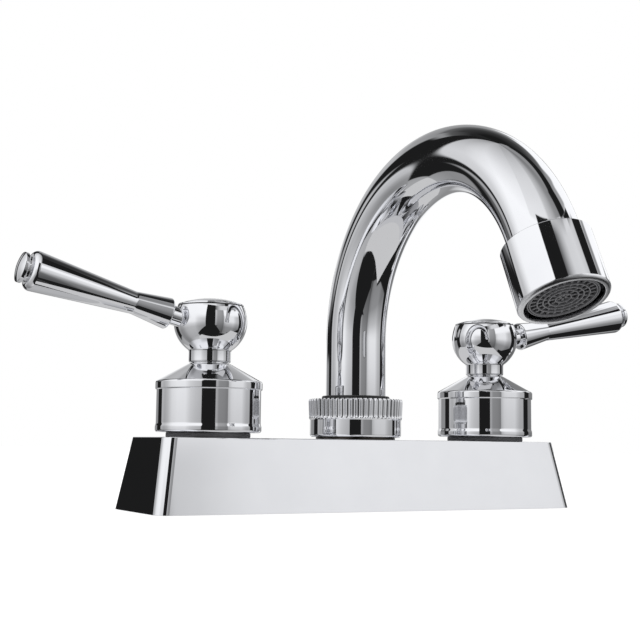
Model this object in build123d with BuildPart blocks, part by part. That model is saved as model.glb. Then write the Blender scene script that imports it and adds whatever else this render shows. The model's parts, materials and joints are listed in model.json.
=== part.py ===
"""Two-handle centre-set basin tap with a swivel gooseneck spout.

Millimetres. +X runs along the base to the right-hand (cold) handle, -Y is the user's side, +Z is up.
The origin is the centre of the base on the deck.
"""
from build123d import *
import math
import os

# Deck shell: a tapered cover, hollow from below
BASE_LENGTH = 146.4
VALVE_INSET = 22.4
BASE_DEPTH = 36.0
BASE_HEIGHT = 21.6
END_TAPER = 3.5
FACE_TAPER = 4.05
BASE_CORNER = 3.6
BASE_BACK_CORNER = 1.4
INNER_BACK_CORNER = 0.6
SHELL_WALL = 1.8
SHELL_ROOF = 2.4
SHELL_EDGE = 0.4

# Base plate, flush with the shell's rim, and its screws
PLATE_THICKNESS = 2.4
PLATE_GAP = 0.15
SCREW_POST_GAP = 0.4
SCREW_POST_RADIUS = 2.9
SCREW_SHANK_RADIUS = 1.3
SCREW_HEAD_RADIUS = 2.4
SCREW_HEAD_HEIGHT = 1.3
SCREW_LENGTH = 8.0

# Waterway casting
BOSS_FOOT = 0.6
INLET_BOSS_RADIUS = 10.9
INLET_THREAD_RADIUS = 7.475
INLET_PASSAGE_RADIUS = 4.0
SEAT_WEB = 1.4
NECK_RADIUS = 10.2
NECK_HEIGHT = 7.0
CHAMBER_RADIUS = 7.9
CHANNEL_ROOF_GAP = 2.3
CHANNEL_RADIUS = 3.3
CHANNEL_WALL = 1.9
CHANNEL_SEAT_RISE = 0.2
CENTRE_BOSS_RADIUS = 10.9
CENTRE_BOSS_RISE = 2.0
CENTRE_BOSS_FLOOR = 2.2
STUD_BOSS_RADIUS = 5.0
STUD_THREAD_RADIUS = 2.5
STUD_WEB = 1.4

# Fits
RIGHT_ANGLE = 90
HOLE_GAP = 0.3
THREAD_GAP = 0.05
RUNNING_GAP = 0.05
RING_GAP = 0.01

# Gasket ring and bell
GASKET_RADIUS = 12.6
GASKET_HEIGHT = 1.5
BELL_RADIUS = 15.6
BELL_HEIGHT = 15.4
BELL_WALL = 1.4
TOP_BEAD_RADIUS = 16.0
TOP_BEAD_HEIGHT = 2.7
FOOT_BEAD_RADIUS = 15.85
FOOT_BEAD_HEIGHT = 1.9
BEAD_EDGE = 0.25
BELL_THREAD_LENGTH = 5.0
ROOF_RIM_STEP = 0.6
ROOF_RISE = 5.1
ROOF_TOP_RADIUS = 6.2
ROOF_HOLE_RADIUS = 5.6
ROOF_WALL = 1.3

# Quarter-turn ceramic cartridge
CARTRIDGE_SEAL_HEIGHT = 1.0
HEXAGON_WIDTH = 19.0
HEXAGON_HEIGHT = 3.8
BONNET_RADIUS = 5.2
BONNET_HEIGHT = 7.8
SKIRT_RADIUS = 7.3
SKIRT_BORE_RADIUS = 6.4
SKIRT_FOOT_GAP = 0.4
CARTRIDGE_THREAD_LENGTH = 9.0
WINDOW_WIDTH = 7.0
WINDOW_HEIGHT = 2.4
SEAT_SEAL_HEIGHT = 1.0
SEAT_SEAL_WIDTH = 1.1
DISC_RADIUS = 6.3
DISC_THICKNESS = 2.2
PORT_CIRCLE_RADIUS = 3.7
PORT_WIDTH = 2.8
PORT_SWEEP = 36.0
DRIVER_WIDTH = 3.0
DRIVER_LENGTH = 10.4
DRIVER_DEPTH = 0.9
DRIVER_HEIGHT = 2.6
STEM_FLANGE_RADIUS = 6.2
STEM_FLANGE_HEIGHT = 1.4
STEM_RADIUS = 4.0
STEM_GROOVE_DEPTH = 1.0
STEM_GROOVE_WIDTH = 1.6
STEM_GROOVE_HEIGHTS = (6.0, 10.0)
CLIP_RADIUS = 5.0
CLIP_THICKNESS = 0.7
CLIP_GROOVE_DEPTH = 0.6
SPLINE_TEETH = 20
SPLINE_RADIUS = 3.9
SPLINE_NOTCH_RADIUS = 0.35
SPLINE_GAP = 0.05

# Handle hub: neck and flattened ball, with heights above the base
HUB_FOOT_GAP = 0.3
HUB_SPIGOT_RADIUS = 5.3
HUB_SPIGOT_LENGTH = 0.9
HUB_NECK_RADIUS = 6.3
HUB_FOOT_CHAMFER = 0.5
BALL_RADIUS = 11.0
BALL_HALF_HEIGHT = 10.2
BALL_CENTRE_HEIGHT = 34.3
BALL_FLAT_RADIUS = 9.2
SPLINE_SOCKET_TOP = 31.8
HUB_WEB = 2.0
COUNTERBORE_RADIUS = 4.2
SPOTFACE_GAP = 0.15
HANDLE_SCREW_RADIUS = 1.95
HANDLE_SCREW_HEAD_RADIUS = 3.6
HANDLE_SCREW_HEAD_HEIGHT = 2.6
HANDLE_SCREW_DEPTH = 8.0
CAP_RADIUS = 8.8
CAP_EDGE = 0.4
CAP_DOME = 1.3
CAP_SPIGOT_LENGTH = 2.4
CAP_SPIGOT_WALL = 0.8

# Lever, turned about its own tilted axis, with distances out from the handle's axis
LEVER_TILT = 12.7
LEVER_TOE = 2.7
LEVER_DROP = 1.2
LEVER_TAIL_START = 5.8
LEVER_TAIL_RADIUS = 1.9
LEVER_STUB_START = 9.4
LEVER_STUB_RADIUS = 2.9
LEVER_ROOT = 14.2
LEVER_ROOT_RADIUS = 4.75
LEVER_ROOT_CHAMFER = 0.5
LEVER_WAIST = 25.6
LEVER_WAIST_RADIUS = 3.35
LEVER_WAIST_BLEND = 4.0
LEVER_SHOULDER = 56.0
LEVER_SHOULDER_RADIUS = 5.8
SHOULDER_LENGTH = 1.8
SHOULDER_DROP = 1.7
LEVER_GROOVE_RADIUS = 3.5
LEVER_GROOVE_LENGTH = 1.0
BUTTON_RADIUS = 4.4
BUTTON_LENGTH = 1.4
BUTTON_DOME = 0.7
BUTTON_EDGE = 0.3

# Spout post, coupling nut, foot and slip ring
POST_SPIGOT_RADIUS = 9.4
POST_SPIGOT_LENGTH = 8.0
POST_THREAD_RADIUS = 12.6
POST_HEIGHT = 8.0
POST_BORE_RADIUS = 7.3
NUT_FOOT_GAP = 0.7
NUT_PLAIN_RADIUS = 14.5
NUT_PLAIN_HEIGHT = 5.8
NUT_FOOT_CHAMFER = 0.7
NUT_FLUTE_HEIGHT = 6.2
NUT_FLUTE_TOP_RADIUS = 15.05
NUT_FLUTE_FOOT_RADIUS = 14.75
NUT_TOP_CHAMFER = 0.3
NUT_WEB = 2.4
FLUTE_COUNT = 60
FLUTE_RADIUS = 0.7
FLUTE_FLOOR_RADIUS = 14.45
FOOT_SPIGOT_LENGTH = 15.6
FOOT_BORE_RADIUS = 4.6
FOOT_FLANGE_RADIUS = 11.8
FOOT_FLANGE_HEIGHT = 1.35
FOOT_SOCKET_LENGTH = 6.0
SPOUT_RING_WIRE = 0.78
SPOUT_GROOVE_WIDTH = 1.8
SPOUT_GROOVE_DEPTHS = (4.0, 9.0)
SLIP_RING_RADIUS = 12.3

# Gooseneck: riser, one bend towards the user and a short straight tail
TUBE_RADIUS = 9.53
TUBE_WALL = 1.0
RISER_TOP = 52.4
BEND_RADIUS = 49.1
BEND_ANGLE = 155.4
TUBE_TAIL = 7.0
WASHER_RADIUS = 10.8
WASHER_HEIGHT = 1.0
WASHER_ROUND = 0.45

# Spout tip and aerator, with distances from the end of the bend along the outlet's axis
TIP_START = 1.9
TIP_SHOULDER_RADIUS = 11.6
TIP_SHOULDER_HEIGHT = 1.3
TIP_CHAMFER = 1.0
TIP_THREAD_RADIUS = 10.9
TIP_LIP_RADIUS = 8.5
TIP_LIP_HEIGHT = 2.0
HOUSING_RADIUS = 11.9
HOUSING_LENGTH = 15.6
HOUSING_BORE_RADIUS = 10.7
HOUSING_EDGE = 0.35
SEAL_HEIGHT = 2.0
SEAL_HOLE_RADIUS = 7.6
INSERT_FLANGE_HEIGHT = 1.4
INSERT_RADIUS = 10.4
INSERT_RECESS = 1.1
INSERT_CHAMBER_RADIUS = 8.8
INSERT_FLOOR = 3.0
INSERT_RINGS = (2.2, 4.0, 5.8, 7.6, 9.6)
INSERT_RING_WIDTH = 0.5
INSERT_RING_HEIGHT = 0.5
JET_ROW_RADII = (3.1, 4.9, 6.7, 8.5)
JET_COUNTS = (8, 14, 20, 26)
JET_RADIUS = 0.5
SCREEN_RADIUS = 9.4
SCREEN_THICKNESS = 0.4
SCREEN_HOLE_RADIUS = 0.9
SCREEN_HOLE_PITCH = 1.35
SCREEN_HOLE_ROWS = 4

# Heights that follow from the sizes
shell_ceiling = BASE_HEIGHT - SHELL_ROOF
neck_top = BASE_HEIGHT + NECK_HEIGHT
channel_height = shell_ceiling - CHANNEL_ROOF_GAP - CHANNEL_WALL - CHANNEL_RADIUS
channel_floor = channel_height - CHANNEL_RADIUS
chamber_floor = channel_floor - CHANNEL_SEAT_RISE
inlet_thread_length = chamber_floor - SEAT_WEB - BOSS_FOOT
stud_thread_depth = channel_floor - STUD_WEB - BOSS_FOOT
centre_boss_foot = PLATE_THICKNESS + CENTRE_BOSS_RISE
bell_foot = BASE_HEIGHT + GASKET_HEIGHT
bell_top = bell_foot + BELL_HEIGHT
roof_top = bell_top + ROOF_RISE
hexagon_foot = neck_top + CARTRIDGE_SEAL_HEIGHT
bonnet_top = hexagon_foot + HEXAGON_HEIGHT + BONNET_HEIGHT
fixed_disc_foot = chamber_floor + SEAT_SEAL_HEIGHT
turning_disc_foot = fixed_disc_foot + DISC_THICKNESS
turning_disc_top = turning_disc_foot + DISC_THICKNESS
stem_flange_foot = turning_disc_top + DRIVER_HEIGHT
stem_flange_top = stem_flange_foot + STEM_FLANGE_HEIGHT
clip_foot = bonnet_top + RUNNING_GAP
spline_foot = clip_foot + CLIP_THICKNESS + HUB_FOOT_GAP
hub_foot = roof_top + HUB_FOOT_GAP
spigot_foot = hub_foot - HUB_SPIGOT_LENGTH
ball_centre = BASE_HEIGHT + BALL_CENTRE_HEIGHT
socket_top = BASE_HEIGHT + SPLINE_SOCKET_TOP
stem_top = socket_top - HUB_FOOT_GAP
screw_seat = socket_top + HUB_WEB
post_foot = BASE_HEIGHT - POST_SPIGOT_LENGTH
post_top = BASE_HEIGHT + POST_HEIGHT
nut_foot = BASE_HEIGHT + NUT_FOOT_GAP
flute_foot = nut_foot + NUT_PLAIN_HEIGHT
nut_top = flute_foot + NUT_FLUTE_HEIGHT
nut_web_foot = nut_top - NUT_WEB
flange_foot = post_top + RUNNING_GAP
flange_top = flange_foot + FOOT_FLANGE_HEIGHT

# Radii and places that follow from the sizes
valve_x = BASE_LENGTH / 2 - VALVE_INSET
stud_x = valve_x / 2
plate_screw_x = valve_x + INLET_BOSS_RADIUS + SCREW_POST_GAP + SCREW_POST_RADIUS
stem_bore_radius = STEM_RADIUS + RUNNING_GAP
tube_bore_radius = TUBE_RADIUS - TUBE_WALL
valves = ((-valve_x, 0), (valve_x, 0))
studs = ((-stud_x, 0), (stud_x, 0))
plate_screws_at = ((-plate_screw_x, 0), (plate_screw_x, 0))


def ball_height(radius, sign):
    """Height at which the ball has this radius, above (+1) or below (-1) its centre."""
    return ball_centre + sign * BALL_HALF_HEIGHT * math.sqrt(1 - (radius / BALL_RADIUS) ** 2)


def base_outline(height, inset):
    """Length and depth of the tapered base at a height, drawn in by an inset."""
    share = height / BASE_HEIGHT
    length = BASE_LENGTH - 2 * (END_TAPER * share + inset)
    depth = BASE_DEPTH - 2 * (FACE_TAPER * share + inset)
    return length, depth


def dome_radius(base_radius, rise):
    """Radius of the sphere whose cap has this base radius and rise."""
    return (base_radius ** 2 + rise ** 2) / (2 * rise)


def save(part, name):
    """Label a finished piece and write it to its STEP file."""
    part.label = name
    export_step(part, f"parts/{name}.step")


def save_pair(part, name):
    """Write a right-hand piece and its mirror image for the left-hand side."""
    save(part, f"{name}_right")
    save(mirror(part, about=Plane.YZ), f"{name}_left")


os.makedirs("parts", exist_ok=True)

# Deck shell: tapered walls, roof with three holes, two posts for the plate's screws
with BuildPart() as deck_shell:
    for height in (0, BASE_HEIGHT):
        with BuildSketch(Plane.XY.offset(height)) as outline:
            Rectangle(*base_outline(height, 0))
            fillet(outline.vertices().group_by(Axis.Y)[0], BASE_CORNER)
            fillet(outline.vertices().group_by(Axis.Y)[-1], BASE_BACK_CORNER)
    loft(ruled=True)
    fillet(deck_shell.edges().group_by(Axis.Z)[-1], SHELL_EDGE)
    for height in (0, shell_ceiling):
        with BuildSketch(Plane.XY.offset(height)) as outline:
            Rectangle(*base_outline(height, SHELL_WALL))
            fillet(outline.vertices().group_by(Axis.Y)[0], BASE_CORNER - SHELL_WALL)
            fillet(outline.vertices().group_by(Axis.Y)[-1], INNER_BACK_CORNER)
    loft(ruled=True, mode=Mode.SUBTRACT)
    with BuildSketch(Plane.XY.offset(PLATE_THICKNESS)):
        with Locations(*plate_screws_at):
            Circle(SCREW_POST_RADIUS)
    extrude(amount=shell_ceiling - PLATE_THICKNESS)
    with BuildSketch(Plane.XY.offset(PLATE_THICKNESS)):
        with Locations(*plate_screws_at):
            Circle(SCREW_SHANK_RADIUS + THREAD_GAP)
    extrude(amount=SCREW_LENGTH, mode=Mode.SUBTRACT)
    with BuildSketch(Plane.XY.offset(BASE_HEIGHT)):
        Circle(POST_SPIGOT_RADIUS + HOLE_GAP)
        with Locations(*valves):
            Circle(NECK_RADIUS + HOLE_GAP)
    extrude(amount=-SHELL_ROOF, mode=Mode.SUBTRACT)
save(deck_shell.part, "deck_shell")

# Base plate, cut away round the bosses, with sunk seats for its screws
with BuildPart() as base_plate:
    for height in (0, PLATE_THICKNESS):
        with BuildSketch(Plane.XY.offset(height)) as outline:
            Rectangle(*base_outline(height, SHELL_WALL + PLATE_GAP))
            fillet(outline.vertices().group_by(Axis.Y)[0], BASE_CORNER - SHELL_WALL)
            fillet(outline.vertices().group_by(Axis.Y)[-1], INNER_BACK_CORNER)
    loft(ruled=True)
    with BuildSketch():
        with Locations(*valves):
            Circle(INLET_BOSS_RADIUS + HOLE_GAP)
        with Locations(*studs):
            Circle(STUD_BOSS_RADIUS + HOLE_GAP)
        with Locations(*plate_screws_at):
            Circle(SCREW_SHANK_RADIUS + THREAD_GAP)
    extrude(amount=PLATE_THICKNESS, mode=Mode.SUBTRACT)
    with BuildSketch():
        with Locations(*plate_screws_at):
            Circle(SCREW_HEAD_RADIUS + HOLE_GAP)
    extrude(amount=SCREW_HEAD_HEIGHT, mode=Mode.SUBTRACT)
save(base_plate.part, "base_plate")

with BuildPart() as plate_screws:
    with BuildSketch(Plane.XY.offset(RUNNING_GAP)):
        with Locations(*plate_screws_at):
            Circle(SCREW_HEAD_RADIUS)
    extrude(amount=SCREW_HEAD_HEIGHT - RUNNING_GAP)
    with BuildSketch(Plane.XY.offset(SCREW_HEAD_HEIGHT)):
        with Locations(*plate_screws_at):
            Circle(SCREW_SHANK_RADIUS)
    extrude(amount=SCREW_LENGTH)
    with BuildSketch(Plane.XY.offset(RUNNING_GAP)):
        with Locations(*plate_screws_at):
            Rectangle(SCREW_HEAD_RADIUS * 1.3, SCREW_HEAD_RADIUS * 0.3)
            Rectangle(SCREW_HEAD_RADIUS * 0.3, SCREW_HEAD_RADIUS * 1.3)
    extrude(amount=SCREW_HEAD_HEIGHT / 2, mode=Mode.SUBTRACT)
save(plate_screws.part, "plate_screws")

# Waterway casting: inlet bosses with necks, centre boss, mixing channel and stud bosses
with BuildPart() as waterway_body:
    with BuildSketch(Plane.XY.offset(BOSS_FOOT)):
        with Locations(*valves):
            Circle(INLET_BOSS_RADIUS)
    extrude(amount=shell_ceiling - BOSS_FOOT)
    with BuildSketch(Plane.XY.offset(shell_ceiling)):
        with Locations(*valves):
            Circle(NECK_RADIUS)
    extrude(amount=neck_top - shell_ceiling)
    with BuildSketch(Plane.XY.offset(centre_boss_foot)):
        Circle(CENTRE_BOSS_RADIUS)
    extrude(amount=shell_ceiling - centre_boss_foot)
    with BuildSketch(Plane.YZ):
        with Locations((0, channel_height)):
            Circle(CHANNEL_RADIUS + CHANNEL_WALL)
    extrude(amount=valve_x, both=True)
    with BuildSketch(Plane.XY.offset(BOSS_FOOT)):
        with Locations(*studs):
            Circle(STUD_BOSS_RADIUS)
    extrude(amount=channel_height - BOSS_FOOT)
    with BuildSketch(Plane.XY.offset(neck_top)):
        with Locations(*valves):
            Circle(CHAMBER_RADIUS)
    extrude(amount=chamber_floor - neck_top, mode=Mode.SUBTRACT)
    with BuildSketch(Plane.XY.offset(BOSS_FOOT)):
        with Locations(*valves):
            Circle(INLET_PASSAGE_RADIUS)
    extrude(amount=chamber_floor - BOSS_FOOT, mode=Mode.SUBTRACT)
    with BuildSketch(Plane.XY.offset(BOSS_FOOT)):
        with Locations(*valves):
            Circle(INLET_THREAD_RADIUS)
    extrude(amount=inlet_thread_length, mode=Mode.SUBTRACT)
    with BuildSketch(Plane.XY.offset(BOSS_FOOT)):
        with Locations(*studs):
            Circle(STUD_THREAD_RADIUS)
    extrude(amount=stud_thread_depth, mode=Mode.SUBTRACT)
    with BuildSketch(Plane.XY.offset(shell_ceiling)):
        Circle(POST_SPIGOT_RADIUS + THREAD_GAP)
    extrude(amount=centre_boss_foot + CENTRE_BOSS_FLOOR - shell_ceiling, mode=Mode.SUBTRACT)
    with BuildSketch(Plane.YZ):
        with Locations((0, channel_height)):
            Circle(CHANNEL_RADIUS)
    extrude(amount=valve_x, both=True, mode=Mode.SUBTRACT)
save(waterway_body.part, "waterway_body")

# The pieces of one valve and handle are made on the right-hand side and mirrored to the left
valve_section = Plane(origin=(valve_x, 0, 0), x_dir=(1, 0, 0), z_dir=(0, -1, 0))
valve_floor = Plane(origin=(valve_x, 0, 0))
valve_axis = Axis((valve_x, 0, 0), (0, 0, 1))

with BuildPart() as gasket_ring:
    with BuildSketch(valve_floor.offset(BASE_HEIGHT)):
        Circle(GASKET_RADIUS)
        Circle(NECK_RADIUS + HOLE_GAP, mode=Mode.SUBTRACT)
    extrude(amount=GASKET_HEIGHT)
save_pair(gasket_ring.part, "gasket_ring")

# Bell: threaded foot, two beads and a conical roof with a hole for the hub's spigot
bell_bore = NECK_RADIUS + THREAD_GAP
bell_cavity = BELL_RADIUS - BELL_WALL
roof_slope = ROOF_RISE / (TOP_BEAD_RADIUS - ROOF_RIM_STEP - ROOF_TOP_RADIUS)
with BuildPart() as bell:
    with BuildSketch(valve_section):
        with BuildLine():
            Polyline(
                (bell_bore, bell_foot),
                (FOOT_BEAD_RADIUS - BEAD_EDGE, bell_foot),
                (FOOT_BEAD_RADIUS, bell_foot + BEAD_EDGE),
                (FOOT_BEAD_RADIUS, bell_foot + FOOT_BEAD_HEIGHT - BEAD_EDGE),
                (BELL_RADIUS, bell_foot + FOOT_BEAD_HEIGHT),
                (BELL_RADIUS, bell_top - TOP_BEAD_HEIGHT),
                (TOP_BEAD_RADIUS, bell_top - TOP_BEAD_HEIGHT + BEAD_EDGE),
                (TOP_BEAD_RADIUS, bell_top - BEAD_EDGE),
                (TOP_BEAD_RADIUS - ROOF_RIM_STEP, bell_top),
                (ROOF_TOP_RADIUS, roof_top),
                (ROOF_HOLE_RADIUS, roof_top),
                (ROOF_HOLE_RADIUS, roof_top - ROOF_WALL),
                (bell_cavity, roof_top - ROOF_WALL - roof_slope * (bell_cavity - ROOF_HOLE_RADIUS)),
                (bell_cavity, bell_foot + BELL_THREAD_LENGTH),
                (bell_bore, bell_foot + BELL_THREAD_LENGTH),
                close=True,
            )
        make_face()
    revolve(axis=valve_axis)
save_pair(bell.part, "bell")

# Cartridge body: windowed skirt, threaded middle, hexagon and bonnet
thread_radius = CHAMBER_RADIUS - THREAD_GAP
thread_foot = neck_top - CARTRIDGE_THREAD_LENGTH
with BuildPart() as cartridge_body:
    with BuildSketch(valve_section):
        with BuildLine():
            Polyline(
                (SKIRT_BORE_RADIUS, chamber_floor + SKIRT_FOOT_GAP),
                (SKIRT_RADIUS, chamber_floor + SKIRT_FOOT_GAP),
                (SKIRT_RADIUS, thread_foot),
                (thread_radius, thread_foot),
                (thread_radius, hexagon_foot),
                (BONNET_RADIUS, hexagon_foot),
                (BONNET_RADIUS, bonnet_top),
                (stem_bore_radius, bonnet_top),
                (stem_bore_radius, stem_flange_top + RUNNING_GAP),
                (SKIRT_BORE_RADIUS, stem_flange_top + RUNNING_GAP),
                close=True,
            )
        make_face()
    revolve(axis=valve_axis)
    with BuildSketch(valve_floor.offset(hexagon_foot)):
        RegularPolygon(HEXAGON_WIDTH / 2, 6, major_radius=False)
        Circle(stem_bore_radius, mode=Mode.SUBTRACT)
    extrude(amount=HEXAGON_HEIGHT)
    with BuildSketch(valve_floor.offset(turning_disc_top)):
        Rectangle(4 * SKIRT_RADIUS, WINDOW_WIDTH)
    extrude(amount=WINDOW_HEIGHT, mode=Mode.SUBTRACT)
save_pair(cartridge_body.part, "cartridge_body")

with BuildPart() as cartridge_seal:
    with BuildSketch(valve_floor.offset(neck_top)):
        Circle(NECK_RADIUS)
        Circle(CHAMBER_RADIUS + THREAD_GAP, mode=Mode.SUBTRACT)
    extrude(amount=CARTRIDGE_SEAL_HEIGHT)
save_pair(cartridge_seal.part, "cartridge_seal")

with BuildPart() as seat_seal:
    with BuildSketch(valve_floor.offset(chamber_floor)):
        Circle(DISC_RADIUS)
        Circle(DISC_RADIUS - SEAT_SEAL_WIDTH, mode=Mode.SUBTRACT)
    extrude(amount=SEAT_SEAL_HEIGHT)
save_pair(seat_seal.part, "seat_seal")

# Ceramic discs: shut, the fixed ports lie front and back and the turning ports left and right
port_arc = CenterArc((0, 0), PORT_CIRCLE_RADIUS, -PORT_SWEEP / 2, PORT_SWEEP)

with BuildPart() as fixed_disc:
    with BuildSketch(valve_floor.offset(fixed_disc_foot)):
        Circle(DISC_RADIUS)
        SlotArc(port_arc, PORT_WIDTH, rotation=RIGHT_ANGLE, mode=Mode.SUBTRACT)
        SlotArc(port_arc, PORT_WIDTH, rotation=3 * RIGHT_ANGLE, mode=Mode.SUBTRACT)
    extrude(amount=DISC_THICKNESS)
save_pair(fixed_disc.part, "fixed_disc")

with BuildPart() as turning_disc:
    with BuildSketch(valve_floor.offset(turning_disc_foot)):
        Circle(DISC_RADIUS)
        SlotArc(port_arc, PORT_WIDTH, mode=Mode.SUBTRACT)
        SlotArc(port_arc, PORT_WIDTH, rotation=2 * RIGHT_ANGLE, mode=Mode.SUBTRACT)
    extrude(amount=DISC_THICKNESS)
    with BuildSketch(valve_floor.offset(turning_disc_top)):
        Rectangle(DRIVER_WIDTH, 3 * DISC_RADIUS)
    extrude(amount=-DRIVER_DEPTH, mode=Mode.SUBTRACT)
save_pair(turning_disc.part, "turning_disc")

# Stem: driver blade, flange, ring grooves, clip groove, spline and a tapped end
with BuildPart() as valve_stem:
    with BuildSketch(valve_floor.offset(turning_disc_top - DRIVER_DEPTH + RUNNING_GAP)):
        Rectangle(DRIVER_WIDTH - 2 * RUNNING_GAP, DRIVER_LENGTH)
    extrude(amount=DRIVER_HEIGHT + DRIVER_DEPTH - RUNNING_GAP)
    with BuildSketch(valve_floor.offset(stem_flange_foot)):
        Circle(STEM_FLANGE_RADIUS)
    extrude(amount=STEM_FLANGE_HEIGHT)
    with BuildSketch(valve_floor.offset(stem_flange_top)):
        Circle(STEM_RADIUS)
    extrude(amount=spline_foot - stem_flange_top)
    for groove_height in STEM_GROOVE_HEIGHTS:
        with BuildSketch(valve_floor.offset(stem_flange_top + groove_height)):
            Circle(STEM_RADIUS)
            Circle(STEM_RADIUS - STEM_GROOVE_DEPTH, mode=Mode.SUBTRACT)
        extrude(amount=STEM_GROOVE_WIDTH, mode=Mode.SUBTRACT)
    with BuildSketch(valve_floor.offset(clip_foot)):
        Circle(STEM_RADIUS)
        Circle(STEM_RADIUS - CLIP_GROOVE_DEPTH, mode=Mode.SUBTRACT)
    extrude(amount=CLIP_THICKNESS, mode=Mode.SUBTRACT)
    with BuildSketch(valve_floor.offset(spline_foot)):
        Circle(SPLINE_RADIUS)
        with PolarLocations(SPLINE_RADIUS, SPLINE_TEETH):
            Circle(SPLINE_NOTCH_RADIUS, mode=Mode.SUBTRACT)
    extrude(amount=stem_top - spline_foot)
    with BuildSketch(valve_floor.offset(stem_top)):
        Circle(HANDLE_SCREW_RADIUS + THREAD_GAP)
    extrude(amount=-HANDLE_SCREW_DEPTH, mode=Mode.SUBTRACT)
save_pair(valve_stem.part, "valve_stem")

stem_ring_wire = (stem_bore_radius - STEM_RADIUS + STEM_GROOVE_DEPTH) / 2
with BuildPart() as stem_orings:
    with BuildSketch(valve_section):
        for groove_height in STEM_GROOVE_HEIGHTS:
            ring_height = stem_flange_top + groove_height + STEM_GROOVE_WIDTH / 2
            with Locations((stem_bore_radius - stem_ring_wire, ring_height)):
                Circle(stem_ring_wire - RING_GAP)
    revolve(axis=valve_axis)
save_pair(stem_orings.part, "stem_orings")

clip_bore = STEM_RADIUS - CLIP_GROOVE_DEPTH + RING_GAP
with BuildPart() as stem_clip:
    with BuildSketch(valve_floor.offset(clip_foot)):
        Circle(CLIP_RADIUS)
        Circle(clip_bore, mode=Mode.SUBTRACT)
        with Locations((CLIP_RADIUS, 0)):
            Rectangle(CLIP_RADIUS, clip_bore, mode=Mode.SUBTRACT)
    extrude(amount=CLIP_THICKNESS)
save_pair(stem_clip.part, "stem_clip")

# Lever's axis: out to the right, tilted up and toed towards the user
tilt = math.radians(LEVER_TILT)
toe = math.radians(LEVER_TOE)
lever_direction = Vector(math.cos(tilt) * math.cos(toe), -math.cos(tilt) * math.sin(toe), math.sin(tilt))
lever_origin = Vector(valve_x, 0, ball_centre - LEVER_DROP)
lever_plane = Plane(origin=lever_origin, z_dir=lever_direction)
lever_section = Plane(origin=lever_origin, x_dir=lever_direction, z_dir=(-math.sin(toe), -math.cos(toe), 0))
lever_axis = Axis(lever_origin, lever_direction)

# Hub: spigot in the bell's roof, neck, ball cut flat for the cap, spline socket and screw seat
ball_flat = ball_height(BALL_FLAT_RADIUS, 1)
neck_angle = math.degrees(math.acos(HUB_NECK_RADIUS / BALL_RADIUS))
flat_angle = math.degrees(math.acos(BALL_FLAT_RADIUS / BALL_RADIUS))
with BuildPart() as handle_hub:
    with BuildSketch(valve_section):
        with BuildLine():
            Polyline(
                (BALL_FLAT_RADIUS, ball_flat),
                (0, ball_flat),
                (0, spigot_foot),
                (HUB_SPIGOT_RADIUS, spigot_foot),
                (HUB_SPIGOT_RADIUS, hub_foot),
                (HUB_NECK_RADIUS - HUB_FOOT_CHAMFER, hub_foot),
                (HUB_NECK_RADIUS, hub_foot + HUB_FOOT_CHAMFER),
                (HUB_NECK_RADIUS, ball_height(HUB_NECK_RADIUS, -1)),
            )
            EllipticalCenterArc(
                (0, ball_centre),
                BALL_RADIUS,
                BALL_HALF_HEIGHT,
                start_angle=-neck_angle,
                arc_size=neck_angle + flat_angle,
            )
        make_face()
    revolve(axis=valve_axis)
    with BuildSketch(valve_floor.offset(ball_flat)):
        Circle(COUNTERBORE_RADIUS)
    extrude(amount=screw_seat - ball_flat, mode=Mode.SUBTRACT)
    with BuildSketch(valve_floor.offset(screw_seat)):
        Circle(HANDLE_SCREW_RADIUS + HOLE_GAP)
    extrude(amount=-HUB_WEB, mode=Mode.SUBTRACT)
    with BuildSketch(valve_floor.offset(spigot_foot)):
        Circle(SPLINE_RADIUS + SPLINE_GAP)
        with PolarLocations(SPLINE_RADIUS + SPLINE_GAP, SPLINE_TEETH):
            Circle(SPLINE_NOTCH_RADIUS - SPLINE_GAP, mode=Mode.SUBTRACT)
    extrude(amount=socket_top - spigot_foot, mode=Mode.SUBTRACT)
    with BuildSketch(lever_plane.offset(LEVER_TAIL_START)):
        Circle(LEVER_TAIL_RADIUS + THREAD_GAP)
    extrude(amount=BALL_RADIUS, mode=Mode.SUBTRACT)
    with BuildSketch(lever_plane.offset(LEVER_STUB_START)):
        Circle(LEVER_STUB_RADIUS + SPOTFACE_GAP)
    extrude(amount=BALL_RADIUS, mode=Mode.SUBTRACT)
save_pair(handle_hub.part, "handle_hub")

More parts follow.
